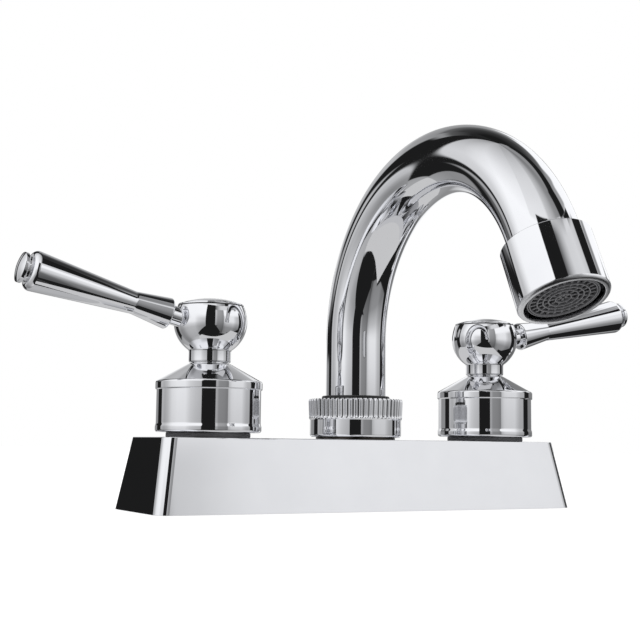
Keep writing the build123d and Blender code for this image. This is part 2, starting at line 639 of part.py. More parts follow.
# Lever, turned from bar: threaded tail, stub, waist, shoulder, groove and button
groove_start = LEVER_SHOULDER + SHOULDER_LENGTH
button_start = groove_start + LEVER_GROOVE_LENGTH
button_end = button_start + BUTTON_LENGTH
face_radius = BUTTON_RADIUS - BUTTON_EDGE
button_sphere = dome_radius(face_radius, BUTTON_DOME)
with BuildPart() as handle_lever:
    with BuildSketch(lever_section) as lever_outline:
        with BuildLine():
            CenterArc(
                (button_end + BUTTON_DOME - button_sphere, 0),
                button_sphere,
                0,
                math.degrees(math.asin(face_radius / button_sphere)),
            )
            Polyline(
                (button_end, face_radius),
                (button_end - BUTTON_EDGE, BUTTON_RADIUS),
                (button_start, BUTTON_RADIUS),
                (button_start, LEVER_GROOVE_RADIUS),
                (groove_start, LEVER_GROOVE_RADIUS),
                (groove_start, LEVER_SHOULDER_RADIUS - SHOULDER_DROP),
            )
            EllipticalCenterArc(
                (LEVER_SHOULDER, LEVER_SHOULDER_RADIUS - SHOULDER_DROP),
                SHOULDER_LENGTH,
                SHOULDER_DROP,
                start_angle=0,
                arc_size=RIGHT_ANGLE,
            )
            Polyline(
                (LEVER_SHOULDER, LEVER_SHOULDER_RADIUS),
                (LEVER_WAIST, LEVER_WAIST_RADIUS),
                (LEVER_ROOT + LEVER_ROOT_CHAMFER, LEVER_ROOT_RADIUS),
                (LEVER_ROOT, LEVER_ROOT_RADIUS - LEVER_ROOT_CHAMFER),
                (LEVER_ROOT, LEVER_STUB_RADIUS),
                (LEVER_STUB_START, LEVER_STUB_RADIUS),
                (LEVER_STUB_START, LEVER_TAIL_RADIUS),
                (LEVER_TAIL_START, LEVER_TAIL_RADIUS),
                (LEVER_TAIL_START, 0),
                (button_end + BUTTON_DOME, 0),
            )
        make_face()
        waist = lever_outline.vertices().sort_by_distance((LEVER_WAIST, LEVER_WAIST_RADIUS))[0]
        fillet(waist, LEVER_WAIST_BLEND)
    revolve(axis=lever_axis)
save_pair(handle_lever.part, "handle_lever")

# Screw through the hub's web into the stem
with BuildPart() as handle_screw:
    with BuildSketch(valve_floor.offset(screw_seat)):
        Circle(HANDLE_SCREW_HEAD_RADIUS)
    extrude(amount=HANDLE_SCREW_HEAD_HEIGHT)
    with BuildSketch(valve_floor.offset(screw_seat)):
        Circle(HANDLE_SCREW_RADIUS)
    extrude(amount=stem_top - HANDLE_SCREW_DEPTH + HOLE_GAP - screw_seat)
    with BuildSketch(valve_floor.offset(screw_seat + HANDLE_SCREW_HEAD_HEIGHT)):
        Rectangle(HANDLE_SCREW_HEAD_RADIUS * 1.3, HANDLE_SCREW_HEAD_RADIUS * 0.3)
        Rectangle(HANDLE_SCREW_HEAD_RADIUS * 0.3, HANDLE_SCREW_HEAD_RADIUS * 1.3)
    extrude(amount=-HANDLE_SCREW_HEAD_HEIGHT / 2, mode=Mode.SUBTRACT)
save_pair(handle_screw.part, "handle_screw")

# Cap: a shallow dome on the ball's flat, with a spigot in the screw's counterbore
cap_sphere = dome_radius(CAP_RADIUS, CAP_DOME)
cap_edge_top = ball_flat + CAP_EDGE
cap_top = cap_edge_top + CAP_DOME
cap_half_angle = math.degrees(math.asin(CAP_RADIUS / cap_sphere))
cap_spigot_radius = COUNTERBORE_RADIUS - THREAD_GAP
with BuildPart() as index_cap:
    with BuildSketch(valve_section):
        with BuildLine():
            Polyline((0, cap_top), (0, ball_flat), (CAP_RADIUS, ball_flat), (CAP_RADIUS, cap_edge_top))
            CenterArc((0, cap_top - cap_sphere), cap_sphere, 90 - cap_half_angle, cap_half_angle)
        make_face()
    revolve(axis=valve_axis)
    with BuildSketch(valve_floor.offset(ball_flat)):
        Circle(cap_spigot_radius)
        Circle(cap_spigot_radius - CAP_SPIGOT_WALL, mode=Mode.SUBTRACT)
    extrude(amount=-CAP_SPIGOT_LENGTH)
save_pair(index_cap.part, "index_cap")

# Spout post: spigot through the shell into the centre boss, threaded collar on top of the shell
with BuildPart() as spout_post:
    with BuildSketch(Plane.XY.offset(post_foot)):
        Circle(POST_SPIGOT_RADIUS)
    extrude(amount=POST_SPIGOT_LENGTH)
    with BuildSketch(Plane.XY.offset(BASE_HEIGHT)):
        Circle(POST_THREAD_RADIUS)
    extrude(amount=POST_HEIGHT)
    with BuildSketch(Plane.XY.offset(post_foot)):
        Circle(POST_BORE_RADIUS)
    extrude(amount=post_top - post_foot, mode=Mode.SUBTRACT)
save(spout_post.part, "spout_post")

# Coupling nut: plain lower half, flared and fluted upper half, web over the foot's flange
nut_bore = POST_THREAD_RADIUS + THREAD_GAP
nut_hole = TUBE_RADIUS + RUNNING_GAP
with BuildPart() as spout_nut:
    with BuildSketch(Plane.XZ):
        with BuildLine():
            Polyline(
                (nut_bore, nut_foot),
                (NUT_PLAIN_RADIUS - NUT_FOOT_CHAMFER, nut_foot),
                (NUT_PLAIN_RADIUS, nut_foot + NUT_FOOT_CHAMFER),
                (NUT_PLAIN_RADIUS, flute_foot),
                (NUT_FLUTE_FOOT_RADIUS, flute_foot),
                (NUT_FLUTE_TOP_RADIUS, nut_top - NUT_TOP_CHAMFER),
                (NUT_FLUTE_TOP_RADIUS - NUT_TOP_CHAMFER, nut_top),
                (nut_hole, nut_top),
                (nut_hole, nut_web_foot),
                (nut_bore, nut_web_foot),
                close=True,
            )
        make_face()
    revolve(axis=Axis.Z)
    with BuildSketch(Plane.XY.offset(flute_foot)):
        with PolarLocations(FLUTE_FLOOR_RADIUS + FLUTE_RADIUS, FLUTE_COUNT):
            Circle(FLUTE_RADIUS)
    extrude(amount=NUT_FLUTE_HEIGHT, mode=Mode.SUBTRACT)
save(spout_nut.part, "spout_nut")

# Spout foot: grooved spigot in the post, flange under the nut, socket brazed into the tube
foot_radius = POST_BORE_RADIUS - RUNNING_GAP
foot_groove_radius = POST_BORE_RADIUS - 2 * SPOUT_RING_WIRE
with BuildPart() as spout_foot:
    with BuildSketch(Plane.XY.offset(flange_foot)):
        Circle(foot_radius)
    extrude(amount=-FOOT_SPIGOT_LENGTH)
    for groove_depth in SPOUT_GROOVE_DEPTHS:
        with BuildSketch(Plane.XY.offset(flange_foot - groove_depth)):
            Circle(foot_radius)
            Circle(foot_groove_radius, mode=Mode.SUBTRACT)
        extrude(amount=-SPOUT_GROOVE_WIDTH, mode=Mode.SUBTRACT)
    with BuildSketch(Plane.XY.offset(flange_foot)):
        Circle(FOOT_FLANGE_RADIUS)
    extrude(amount=FOOT_FLANGE_HEIGHT)
    with BuildSketch(Plane.XY.offset(flange_top)):
        Circle(tube_bore_radius - THREAD_GAP)
    extrude(amount=FOOT_SOCKET_LENGTH)
    with BuildSketch(Plane.XY.offset(flange_top + FOOT_SOCKET_LENGTH)):
        Circle(FOOT_BORE_RADIUS)
    extrude(amount=-FOOT_SOCKET_LENGTH - FOOT_FLANGE_HEIGHT - FOOT_SPIGOT_LENGTH, mode=Mode.SUBTRACT)
save(spout_foot.part, "spout_foot")

with BuildPart() as spout_orings:
    with BuildSketch(Plane.XZ):
        for groove_depth in SPOUT_GROOVE_DEPTHS:
            ring_height = flange_foot - groove_depth - SPOUT_GROOVE_WIDTH / 2
            with Locations((POST_BORE_RADIUS - SPOUT_RING_WIRE, ring_height)):
                Circle(SPOUT_RING_WIRE - RING_GAP)
    revolve(axis=Axis.Z)
save(spout_orings.part, "spout_orings")

with BuildPart() as slip_ring:
    with BuildSketch(Plane.XY.offset(nut_web_foot)):
        Circle(SLIP_RING_RADIUS)
        Circle(TUBE_RADIUS + HOLE_GAP, mode=Mode.SUBTRACT)
    extrude(amount=flange_top + RUNNING_GAP - nut_web_foot)
save(slip_ring.part, "slip_ring")

# Gooseneck tube
bend_angle = math.radians(BEND_ANGLE)
bend_end_y = BEND_RADIUS * (math.cos(bend_angle) - 1)
bend_end_z = RISER_TOP + BEND_RADIUS * math.sin(bend_angle)
with BuildPart() as spout_tube:
    with BuildLine(Plane.YZ) as spout_path:
        Line((0, flange_top), (0, RISER_TOP))
        CenterArc((-BEND_RADIUS, RISER_TOP), BEND_RADIUS, 0, BEND_ANGLE)
        PolarLine((bend_end_y, bend_end_z), TUBE_TAIL, BEND_ANGLE + RIGHT_ANGLE)
    with BuildSketch(Plane.XY.offset(flange_top)):
        Circle(TUBE_RADIUS)
        Circle(tube_bore_radius, mode=Mode.SUBTRACT)
    sweep(path=spout_path.wire())
save(spout_tube.part, "spout_tube")

# Rubber ring round the tube on top of the nut
with BuildPart() as tube_washer:
    with BuildSketch(Plane.XZ):
        washer_bore = TUBE_RADIUS + RING_GAP
        with Locations(((washer_bore + WASHER_RADIUS) / 2, nut_top + RUNNING_GAP + WASHER_HEIGHT / 2)):
            RectangleRounded(WASHER_RADIUS - washer_bore, WASHER_HEIGHT, WASHER_ROUND)
    revolve(axis=Axis.Z)
save(tube_washer.part, "tube_washer")

# Outlet frame: sections hold (radius, distance along the outlet's axis)
outlet_direction = Vector(0, -math.sin(bend_angle), math.cos(bend_angle))
outlet_origin = Vector(0, bend_end_y, bend_end_z)
outlet_floor = Plane(origin=outlet_origin, x_dir=(1, 0, 0), z_dir=outlet_direction)
outlet_section = Plane(origin=outlet_origin, x_dir=(1, 0, 0), z_dir=Vector(1, 0, 0).cross(outlet_direction))
outlet_axis = Axis(outlet_origin, outlet_direction)
tip_end = TUBE_TAIL + TIP_LIP_HEIGHT
tip_thread_start = TIP_START + TIP_SHOULDER_HEIGHT
housing_start = tip_thread_start + RUNNING_GAP
housing_end = housing_start + HOUSING_LENGTH
insert_start = tip_end + SEAL_HEIGHT
insert_end = housing_end - INSERT_RECESS
insert_face = insert_end - INSERT_RING_HEIGHT
flange_end = insert_start + INSERT_FLANGE_HEIGHT

# Spout tip: threaded ring brazed on the tube's end, with a chamfered shoulder and an inner lip
tip_bore = TUBE_RADIUS + RING_GAP
with BuildPart() as spout_tip:
    with BuildSketch(outlet_section):
        with BuildLine():
            Polyline(
                (tip_bore, TIP_START),
                (TIP_SHOULDER_RADIUS - TIP_CHAMFER, TIP_START),
                (TIP_SHOULDER_RADIUS, TIP_START + TIP_CHAMFER),
                (TIP_SHOULDER_RADIUS, tip_thread_start),
                (TIP_THREAD_RADIUS, tip_thread_start),
                (TIP_THREAD_RADIUS, tip_end),
                (TIP_LIP_RADIUS, tip_end),
                (TIP_LIP_RADIUS, TUBE_TAIL),
                (tip_bore, TUBE_TAIL),
                close=True,
            )
        make_face()
    revolve(axis=outlet_axis)
save(spout_tip.part, "spout_tip")

# Aerator housing: threaded sleeve with an inner step that holds the insert's flange
housing_thread = TIP_THREAD_RADIUS + THREAD_GAP
with BuildPart() as aerator_housing:
    with BuildSketch(outlet_section):
        with BuildLine():
            Polyline(
                (housing_thread, housing_start),
                (HOUSING_RADIUS - HOUSING_EDGE, housing_start),
                (HOUSING_RADIUS, housing_start + HOUSING_EDGE),
                (HOUSING_RADIUS, housing_end - HOUSING_EDGE),
                (HOUSING_RADIUS - HOUSING_EDGE, housing_end),
                (HOUSING_BORE_RADIUS, housing_end),
                (HOUSING_BORE_RADIUS, flange_end),
                (housing_thread, flange_end),
                close=True,
            )
        make_face()
    revolve(axis=outlet_axis)
save(aerator_housing.part, "aerator_housing")

with BuildPart() as aerator_seal:
    with BuildSketch(outlet_floor.offset(tip_end)):
        Circle(TIP_THREAD_RADIUS)
        Circle(SEAL_HOLE_RADIUS, mode=Mode.SUBTRACT)
    extrude(amount=SEAL_HEIGHT)
save(aerator_seal.part, "aerator_seal")

with BuildPart() as aerator_screen:
    with BuildSketch(outlet_floor.offset(insert_start)):
        Circle(SCREEN_RADIUS)
        with HexLocations(SCREEN_HOLE_PITCH, SCREEN_HOLE_ROWS, SCREEN_HOLE_ROWS):
            Circle(SCREEN_HOLE_RADIUS, mode=Mode.SUBTRACT)
    extrude(amount=SCREEN_THICKNESS)
save(aerator_screen.part, "aerator_screen")

# Aerator insert: flanged cup whose floor has rows of jets between raised rings
with BuildPart() as aerator_insert:
    with BuildSketch(outlet_floor.offset(insert_start)):
        Circle(TIP_THREAD_RADIUS)
    extrude(amount=INSERT_FLANGE_HEIGHT)
    with BuildSketch(outlet_floor.offset(flange_end)):
        Circle(INSERT_RADIUS)
    extrude(amount=insert_face - flange_end)
    with BuildSketch(outlet_floor.offset(insert_face)):
        for ring_radius in INSERT_RINGS:
            Circle(ring_radius + INSERT_RING_WIDTH / 2)
            Circle(ring_radius - INSERT_RING_WIDTH / 2, mode=Mode.SUBTRACT)
    extrude(amount=INSERT_RING_HEIGHT)
    with BuildSketch(outlet_floor.offset(insert_start)):
        Circle(SCREEN_RADIUS + HOLE_GAP / 2)
    extrude(amount=SCREEN_THICKNESS, mode=Mode.SUBTRACT)
    with BuildSketch(outlet_floor.offset(insert_start)):
        Circle(INSERT_CHAMBER_RADIUS)
    extrude(amount=insert_face - INSERT_FLOOR - insert_start, mode=Mode.SUBTRACT)
    with BuildSketch(outlet_floor.offset(insert_face)):
        for row_radius, jet_count in zip(JET_ROW_RADII, JET_COUNTS):
            with PolarLocations(row_radius, jet_count):
                Circle(JET_RADIUS)
    extrude(amount=-INSERT_FLOOR, mode=Mode.SUBTRACT)
save(aerator_insert.part, "aerator_insert")
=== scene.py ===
"""Looks of the two-handle basin mixer tap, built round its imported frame.

Sizes of pieces are dataclass fields in millimetres; Blender's own lengths are metres.
The frame is the part's: +X to the cold handle, -Y to the user, +Z up, origin on the deck.
"""
from __future__ import annotations

import json
import logging
import math
from collections.abc import Callable, Iterable, Sequence
from dataclasses import dataclass, field
from enum import Enum

import bmesh
import bpy
from mathutils import Matrix, Vector

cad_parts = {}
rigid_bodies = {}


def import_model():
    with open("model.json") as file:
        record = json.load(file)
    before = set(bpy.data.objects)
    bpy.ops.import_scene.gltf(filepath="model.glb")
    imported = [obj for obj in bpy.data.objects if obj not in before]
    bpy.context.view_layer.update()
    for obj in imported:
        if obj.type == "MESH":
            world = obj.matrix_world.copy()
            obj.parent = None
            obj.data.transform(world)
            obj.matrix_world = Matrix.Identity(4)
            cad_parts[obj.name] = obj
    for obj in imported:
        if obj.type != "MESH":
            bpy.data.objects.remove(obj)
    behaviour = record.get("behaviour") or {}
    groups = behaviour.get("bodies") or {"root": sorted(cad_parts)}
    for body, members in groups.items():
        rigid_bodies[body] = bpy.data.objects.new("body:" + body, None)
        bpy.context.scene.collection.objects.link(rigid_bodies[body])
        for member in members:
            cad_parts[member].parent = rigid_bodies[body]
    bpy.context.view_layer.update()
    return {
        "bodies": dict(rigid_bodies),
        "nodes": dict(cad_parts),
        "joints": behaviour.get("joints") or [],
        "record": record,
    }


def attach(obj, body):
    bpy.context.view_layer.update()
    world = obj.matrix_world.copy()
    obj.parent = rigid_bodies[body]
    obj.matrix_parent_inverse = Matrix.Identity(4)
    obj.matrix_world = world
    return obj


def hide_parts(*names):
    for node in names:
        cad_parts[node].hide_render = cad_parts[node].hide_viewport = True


LOG = logging.getLogger("tap")
MM = 0.001
SHARP_ANGLE = math.radians(38)
MERGE_DISTANCE = 1e-7

Number = float | int
Point = tuple[float, float]
Colour = tuple[float, float, float]


class Side(Enum):
    """Which handle a piece belongs to; the value is the sign of its X."""

    LEFT = -1
    RIGHT = 1

    @property
    def label(self) -> str:
        """The side's word in node and body names."""
        return self.name.lower()


class Signal:
    """A shader socket that takes part in Python arithmetic by adding Math nodes."""

    def __init__(self, graph: "Graph", socket: bpy.types.NodeSocket) -> None:
        """Wraps an output socket of a graph."""
        self.graph = graph
        self.socket = socket

    def _math(self, operation: str, *values: "Signal | Number") -> "Signal":
        """Adds one Math node on the given values."""
        return self.graph.math(operation, *values)

    def __add__(self, other: "Signal | Number") -> "Signal":
        """Sum."""
        return self._math("ADD", self, other)

    __radd__ = __add__

    def __sub__(self, other: "Signal | Number") -> "Signal":
        """Difference."""
        return self._math("SUBTRACT", self, other)

    def __rsub__(self, other: "Signal | Number") -> "Signal":
        """Difference the other way round."""
        return self._math("SUBTRACT", other, self)

    def __mul__(self, other: "Signal | Number") -> "Signal":
        """Product."""
        return self._math("MULTIPLY", self, other)

    __rmul__ = __mul__

    def __truediv__(self, other: "Signal | Number") -> "Signal":
        """Quotient."""
        return self._math("DIVIDE", self, other)

    def __abs__(self) -> "Signal":
        """Absolute value."""
        return self._math("ABSOLUTE", self)


class Graph:
    """The node tree of one material or world, with short ways to add nodes."""

    def __init__(self, tree: bpy.types.NodeTree) -> None:
        """Empties the tree and keeps it."""
        self.tree = tree
        tree.nodes.clear()

    def node(
        self,
        kind: str,
        settings: dict[str, object] | None = None,
        inputs: dict[str | int, object] | None = None,
    ) -> bpy.types.Node:
        """Adds a node, sets its properties, then its sockets.

        Args:
            kind: The node's type name.
            settings: Properties set before the sockets.
            inputs: Socket name or index to a value, a Signal or an output socket.

        Returns:
            The new node.
        """
        made = self.tree.nodes.new(kind)
        for name, value in (settings or {}).items():
            setattr(made, name, value)
        for key, value in (inputs or {}).items():
            self.feed(made.inputs[key], value)
        return made

    def feed(self, socket: bpy.types.NodeSocket, value: object) -> None:
        """Links a Signal or socket to an input, or sets a plain value on it.

        Args:
            socket: The input.
            value: A Signal, an output socket or a plain value.
        """
        if isinstance(value, Signal):
            self.tree.links.new(value.socket, socket)
        elif isinstance(value, bpy.types.NodeSocket):
            self.tree.links.new(value, socket)
        else:
            socket.default_value = value

    def math(self, operation: str, *values: Signal | Number) -> Signal:
        """Adds a Math node and returns its result."""
        made = self.node("ShaderNodeMath", {"operation": operation}, dict(enumerate(values)))
        return Signal(self, made.outputs[0])

    def ramp_between(self, value: Signal, start: float, end: float) -> Signal:
        """A smooth step of a value from 0 at start to 1 at end.

        Args:
            value: The number to follow.
            start: Where the step starts.
            end: Where it ends.

        Returns:
            The step's height, 0 to 1.
        """
        settings = {"interpolation_type": "SMOOTHSTEP"}
        inputs = {"Value": value, "From Min": start, "From Max": end}
        return Signal(self, self.node("ShaderNodeMapRange", settings, inputs).outputs[0])

    def band(self, value: Signal, low: float, high: float, soft: float) -> Signal:
        """1 between low and high, 0 outside, with soft edges of the given width.

        Args:
            value: The number to follow.
            low: The band's lower edge.
            high: Its upper edge.
            soft: Width of each edge's fade.

        Returns:
            The mask.
        """
        rise = self.ramp_between(value, low - soft / 2, low + soft / 2)
        fall = self.ramp_between(value, high - soft / 2, high + soft / 2)
        return rise * (1 - fall)

    def profile(self, value: Signal, stops: Sequence[Point], reach: float) -> Signal:
        """A brightness that follows straight lines between stops.

        Args:
            value: An angle in degrees from -reach to reach.
            stops: Pairs of angle and brightness, in rising order.
            reach: The largest angle.

        Returns:
            The brightness at the value.
        """
        ramp = self.node("ShaderNodeValToRGB", inputs={"Fac": (value + reach) / (2 * reach)})
        elements = ramp.color_ramp.elements
        elements.remove(elements[0])
        for index, (angle, level) in enumerate(stops):
            place = (angle + reach) / (2 * reach)
            stop = elements[0] if index == 0 else elements.new(place)
            stop.position = place
            stop.color = (level, level, level, 1.0)
        return Signal(self, ramp.outputs["Color"])

    def mix(self, factor: Signal | Number, low: Signal | Number, high: Signal | Number) -> Signal:
        """A straight blend of two numbers.

        Args:
            factor: Share of the high number.
            low: The first number.
            high: The second number.

        Returns:
            The blended number.
        """
        settings = {"data_type": "FLOAT"}
        made = self.node("ShaderNodeMix", settings, {0: factor, 2: low, 3: high})
        return Signal(self, made.outputs[0])

    def blend_colour(
        self, factor: Signal | Number, low: Colour, high: Colour | bpy.types.NodeSocket
    ) -> bpy.types.NodeSocket:
        """A straight blend of two colours.

        Args:
            factor: Share of the high colour.
            low: The first colour.
            high: The second colour, or a socket that gives it.

        Returns:
            The blended colour's socket.
        """
        settings = {"data_type": "RGBA"}
        upper = (*high, 1.0) if isinstance(high, tuple) else high
        made = self.node("ShaderNodeMix", settings, {0: factor, 6: (*low, 1.0), 7: upper})
        return made.outputs[2]

    def place(self) -> bpy.types.NodeSocket:
        """Object coordinates."""
        return self.node("ShaderNodeTexCoord").outputs["Object"]

    def xyz(self) -> tuple[Signal, Signal, Signal]:
        """Object coordinates as three numbers, in metres.

        Returns:
            The three coordinates.
        """
        split = self.node("ShaderNodeSeparateXYZ", inputs={0: self.place()})
        x, y, z = (Signal(self, out) for out in split.outputs)
        return x, y, z

    def distance(self, along: Sequence[float]) -> Signal:
        """How far a point of the piece lies along a direction from the origin, in metres."""
        x, y, z = self.xyz()
        return x * along[0] + y * along[1] + z * along[2]

    def noise(self, scale: float, detail: float = 2.0, stretch: Sequence[float] = (1, 1, 1)) -> Signal:
        """Noise on Object coordinates, 0 to 1, with its scale per metre.

        Args:
            scale: Noise cells per metre.
            detail: Octaves of finer noise.
            stretch: Factor on the scale along each axis.

        Returns:
            The noise.
        """
        mapping = self.node("ShaderNodeMapping", inputs={"Vector": self.place(), "Scale": stretch})
        inputs = {"Vector": mapping.outputs[0], "Scale": scale, "Detail": detail}
        return Signal(self, self.node("ShaderNodeTexNoise", inputs=inputs).outputs["Fac"])

    def bump(self, height: Signal, depth: float) -> bpy.types.NodeSocket:
        """A normal from a height of 0 to 1 over a depth in metres."""
        inputs = {"Height": height, "Strength": 1.0, "Distance": depth}
        return self.node("ShaderNodeBump", inputs=inputs).outputs["Normal"]

    def surface(self, **inputs: object) -> None:
        """Ends the tree in a Principled shader with the given sockets.

        Args:
            inputs: Sockets by name, with underscores for spaces.
        """
        named = {name.replace("_", " "): value for name, value in inputs.items()}
        shader = self.node("ShaderNodeBsdfPrincipled", inputs=named)
        self.node("ShaderNodeOutputMaterial", inputs={"Surface": shader.outputs[0]})


@dataclass(frozen=True)
class Finish:
    """Base of every finish: a name, the record's slot and the material it makes."""

    name: str
    slot: str

    def paint(self, graph: Graph) -> None:
        """Fills the material's node tree."""
        raise NotImplementedError

    def material(self) -> bpy.types.Material:
        """The finish's material, made on first use.

        Returns:
            The material.
        """
        made = bpy.data.materials.get(self.name)
        if made is None:
            made = bpy.data.materials.new(self.name)
            made.use_nodes = True
            self.paint(Graph(made.node_tree))
        return made


@dataclass(frozen=True)
class Chrome(Finish):
    """Bright nickel-chrome plate over polished brass."""

    name: str = "polished_chrome_plate"
    slot: str = "polished_chrome"
    tint: Colour = (0.9, 0.905, 0.925)
    dull_tint: Colour = (0.84, 0.845, 0.87)
    tint_scale: float = 90.0
    roughness: float = 0.028
    haze: float = 0.03
    wipe_scale: float = 900.0
    wipe_stretch: tuple[float, float, float] = (1.0, 1.0, 0.12)
    ripple_scale: float = 70.0
    ripple_depth: float = 4e-6

    def paint(self, graph: Graph) -> None:
        """Mirror metal with a faint haze of polishing marks and a slight ripple.

        Args:
            graph: The material's graph.
        """
        cloud = graph.noise(self.tint_scale, 3)
        ripple = graph.noise(self.ripple_scale, 1)
        graph.surface(
            Base_Color=graph.blend_colour(cloud, self.dull_tint, self.tint),
            Metallic=1.0,
            Roughness=self.gloss(graph, cloud),
            Normal=graph.bump(ripple, self.ripple_depth),
        )

    def gloss(self, graph: Graph, cloud: Signal) -> Signal:
        """Roughness with the haze of polishing marks."""
        wipe = graph.noise(self.wipe_scale, 4, self.wipe_stretch)
        return self.roughness + self.haze * cloud * wipe


@dataclass(frozen=True)
class RimmedChrome(Chrome):
    """The same plate with a satin rim: past a plane across an axis it is less polished."""

    name: str = "chrome_with_satin_rim"
    along: tuple[float, float, float] = (0.0, 0.0, 1.0)
    rim_start: float = 0.0
    rim_fade: float = 0.0003
    satin: float = 0.27

    def gloss(self, graph: Graph, cloud: Signal) -> Signal:
        """The plate's roughness, with the satin rim added.

        Args:
            graph: The material's graph.
            cloud: The plate's own slow noise.

        Returns:
            The roughness.
        """
        distance = graph.distance(self.along)
        rim = graph.ramp_between(distance, self.rim_start, self.rim_start + self.rim_fade)
        return super().gloss(graph, cloud) + self.satin * rim


@dataclass(frozen=True)
class Brass(Finish):
    """Machined brass with fine turning lines."""

    name: str = "machined_brass"
    slot: str = "plain_brass"
    tarnish_and_shade: Colour = (0.62, 0.44, 0.2)
    bright: Colour = (0.8, 0.62, 0.32)
    tarnish_scale: float = 120.0
    line_scale: float = 400.0
    line_stretch: tuple[float, float, float] = (0.05, 0.05, 8.0)
    line_depth: float = 1.5e-5
    roughness: float = 0.22
    line_roughness: float = 0.2

    def paint(self, graph: Graph) -> None:
        """Warm metal, lines across Z, with slight tarnish.

        Args:
            graph: The material's graph.
        """
        tarnish = graph.noise(self.tarnish_scale, 4)
        lines = graph.noise(self.line_scale, 2, self.line_stretch)
        graph.surface(
            Base_Color=graph.blend_colour(tarnish, self.tarnish_and_shade, self.bright),
            Metallic=1.0,
            Roughness=self.roughness + self.line_roughness * lines,
            Normal=graph.bump(lines, self.line_depth),
        )


@dataclass(frozen=True)
class Steel(Finish):
    """Plain stainless steel with a brushed grain."""

    name: str = "brushed_stainless"
    slot: str = "stainless_steel"
    dark: Colour = (0.5, 0.5, 0.49)
    light: Colour = (0.68, 0.68, 0.67)
    grain_scale: float = 1500.0
    grain_stretch: tuple[float, float, float] = (0.06, 1.0, 1.0)
    grain_depth: float = 8e-6
    roughness: float = 0.24
    grain_roughness: float = 0.16

    def paint(self, graph: Graph) -> None:
        """Grey metal with a long grain along X.

        Args:
            graph: The material's graph.
        """
        grain = graph.noise(self.grain_scale, 3, self.grain_stretch)
        graph.surface(
            Base_Color=graph.blend_colour(grain, self.dark, self.light),
            Metallic=1.0,
            Roughness=self.roughness + self.grain_roughness * grain,
            Normal=graph.bump(grain, self.grain_depth),
        )


@dataclass(frozen=True)
class Moulding(Finish):
    """A moulded rubber, plastic or ceramic surface."""

    dark: Colour = (0.02, 0.02, 0.02)
    light: Colour = (0.04, 0.04, 0.04)
    roughness: float = 0.5
    grain_scale: float = 900.0
    grain_depth: float = 2e-5
    grain_roughness: float = 0.14
    mottle_scale: float = 160.0

    def colour(self, graph: Graph) -> bpy.types.NodeSocket:
        """The mottled colour of the moulding."""
        return graph.blend_colour(graph.noise(self.mottle_scale, 4), self.dark, self.light)

    def paint(self, graph: Graph) -> None:
        """The colour with fine moulded grain.

        Args:
            graph: The material's graph.
        """
        colour = self.colour(graph)
        grain = graph.noise(self.grain_scale, 3)
        graph.surface(
            Base_Color=colour,
            Roughness=self.roughness + self.grain_roughness * (grain - 0.5),
            Normal=graph.bump(grain, self.grain_depth),
        )


@dataclass(frozen=True)
class JetPlastic(Moulding):
    """Dark plastic with painted shade: painted black in the depth of the jets, rising to the plastic's own
    colour on the crests of the ribs.
    """

    name: str = "jet_plastic"
    slot: str = "dark_plastic"
    dark: Colour = (0.13, 0.13, 0.137)
    light: Colour = (0.21, 0.21, 0.22)
    roughness: float = 0.42
    grain_scale: float = 1400.0
    grain_depth: float = 1e-5
    # Painted shade: the near-black colour painted into the depths of the jets.
    black: Colour = (0.006, 0.006, 0.0065)
    along: tuple[float, float, float] = (0.0, 0.0, 1.0)
    # Where along the axis the painted shade is fullest, in metres; it fades out towards the crest.
    painted_shade_start: float = 0.0
    crest: float = 0.001

    def colour(self, graph: Graph) -> bpy.types.NodeSocket:
        """The mottled colour on the crests, over painted shade that is black in the depths."""
        height = graph.ramp_between(graph.distance(self.along), self.painted_shade_start, self.crest)
        return graph.blend_colour(height, self.black, super().colour(graph))


CHROME = Chrome()
BRASS = Brass()
# Brass painted near black: painted shade for the post's sliver that shows in the nut's shadow.
BRASS_PAINTED_SHADE = Brass("oiled_brass", tarnish_and_shade=(0.035, 0.03, 0.026), bright=(0.1, 0.09, 0.08))
STEEL = Steel()
GASKET_RUBBER = Moulding("gasket_rubber", "grey_rubber", (0.085, 0.085, 0.09), (0.17, 0.17, 0.18), 0.58)
RING_RUBBER = Moulding("ring_rubber", "black_rubber", (0.008, 0.008, 0.008), (0.02, 0.02, 0.02), 0.38)
CERAMIC = Moulding(
    "disc_ceramic_glaze",
    "disc_ceramic",
    (0.86, 0.85, 0.8),
    (0.93, 0.92, 0.88),
    roughness=0.16,
    grain_scale=400,
    grain_depth=2e-6,
)
BASE_PLASTIC = Moulding("base_plastic", "grey_plastic", (0.2, 0.205, 0.21), (0.27, 0.275, 0.28), 0.55)
NYLON = Moulding("slip_nylon", "white_nylon", (0.76, 0.75, 0.7), (0.84, 0.83, 0.79), 0.42)


@dataclass(frozen=True)
class TurningAxis:
    """The line that a piece is turned about, in millimetres."""

    origin: Vector
    along: Vector
    outward: Vector

    @classmethod
    def upright(cls, x: float = 0.0, y: float = 0.0) -> "TurningAxis":
        """A vertical axis from the deck."""
        return cls(Vector((x, y, 0)), Vector((0, 0, 1)), Vector((1, 0, 0)))

    def place(self, radius: float, distance: float) -> Vector:
        """The point at a radius and a distance along, in metres."""
        return (self.origin + self.outward * radius + self.along * distance) * MM


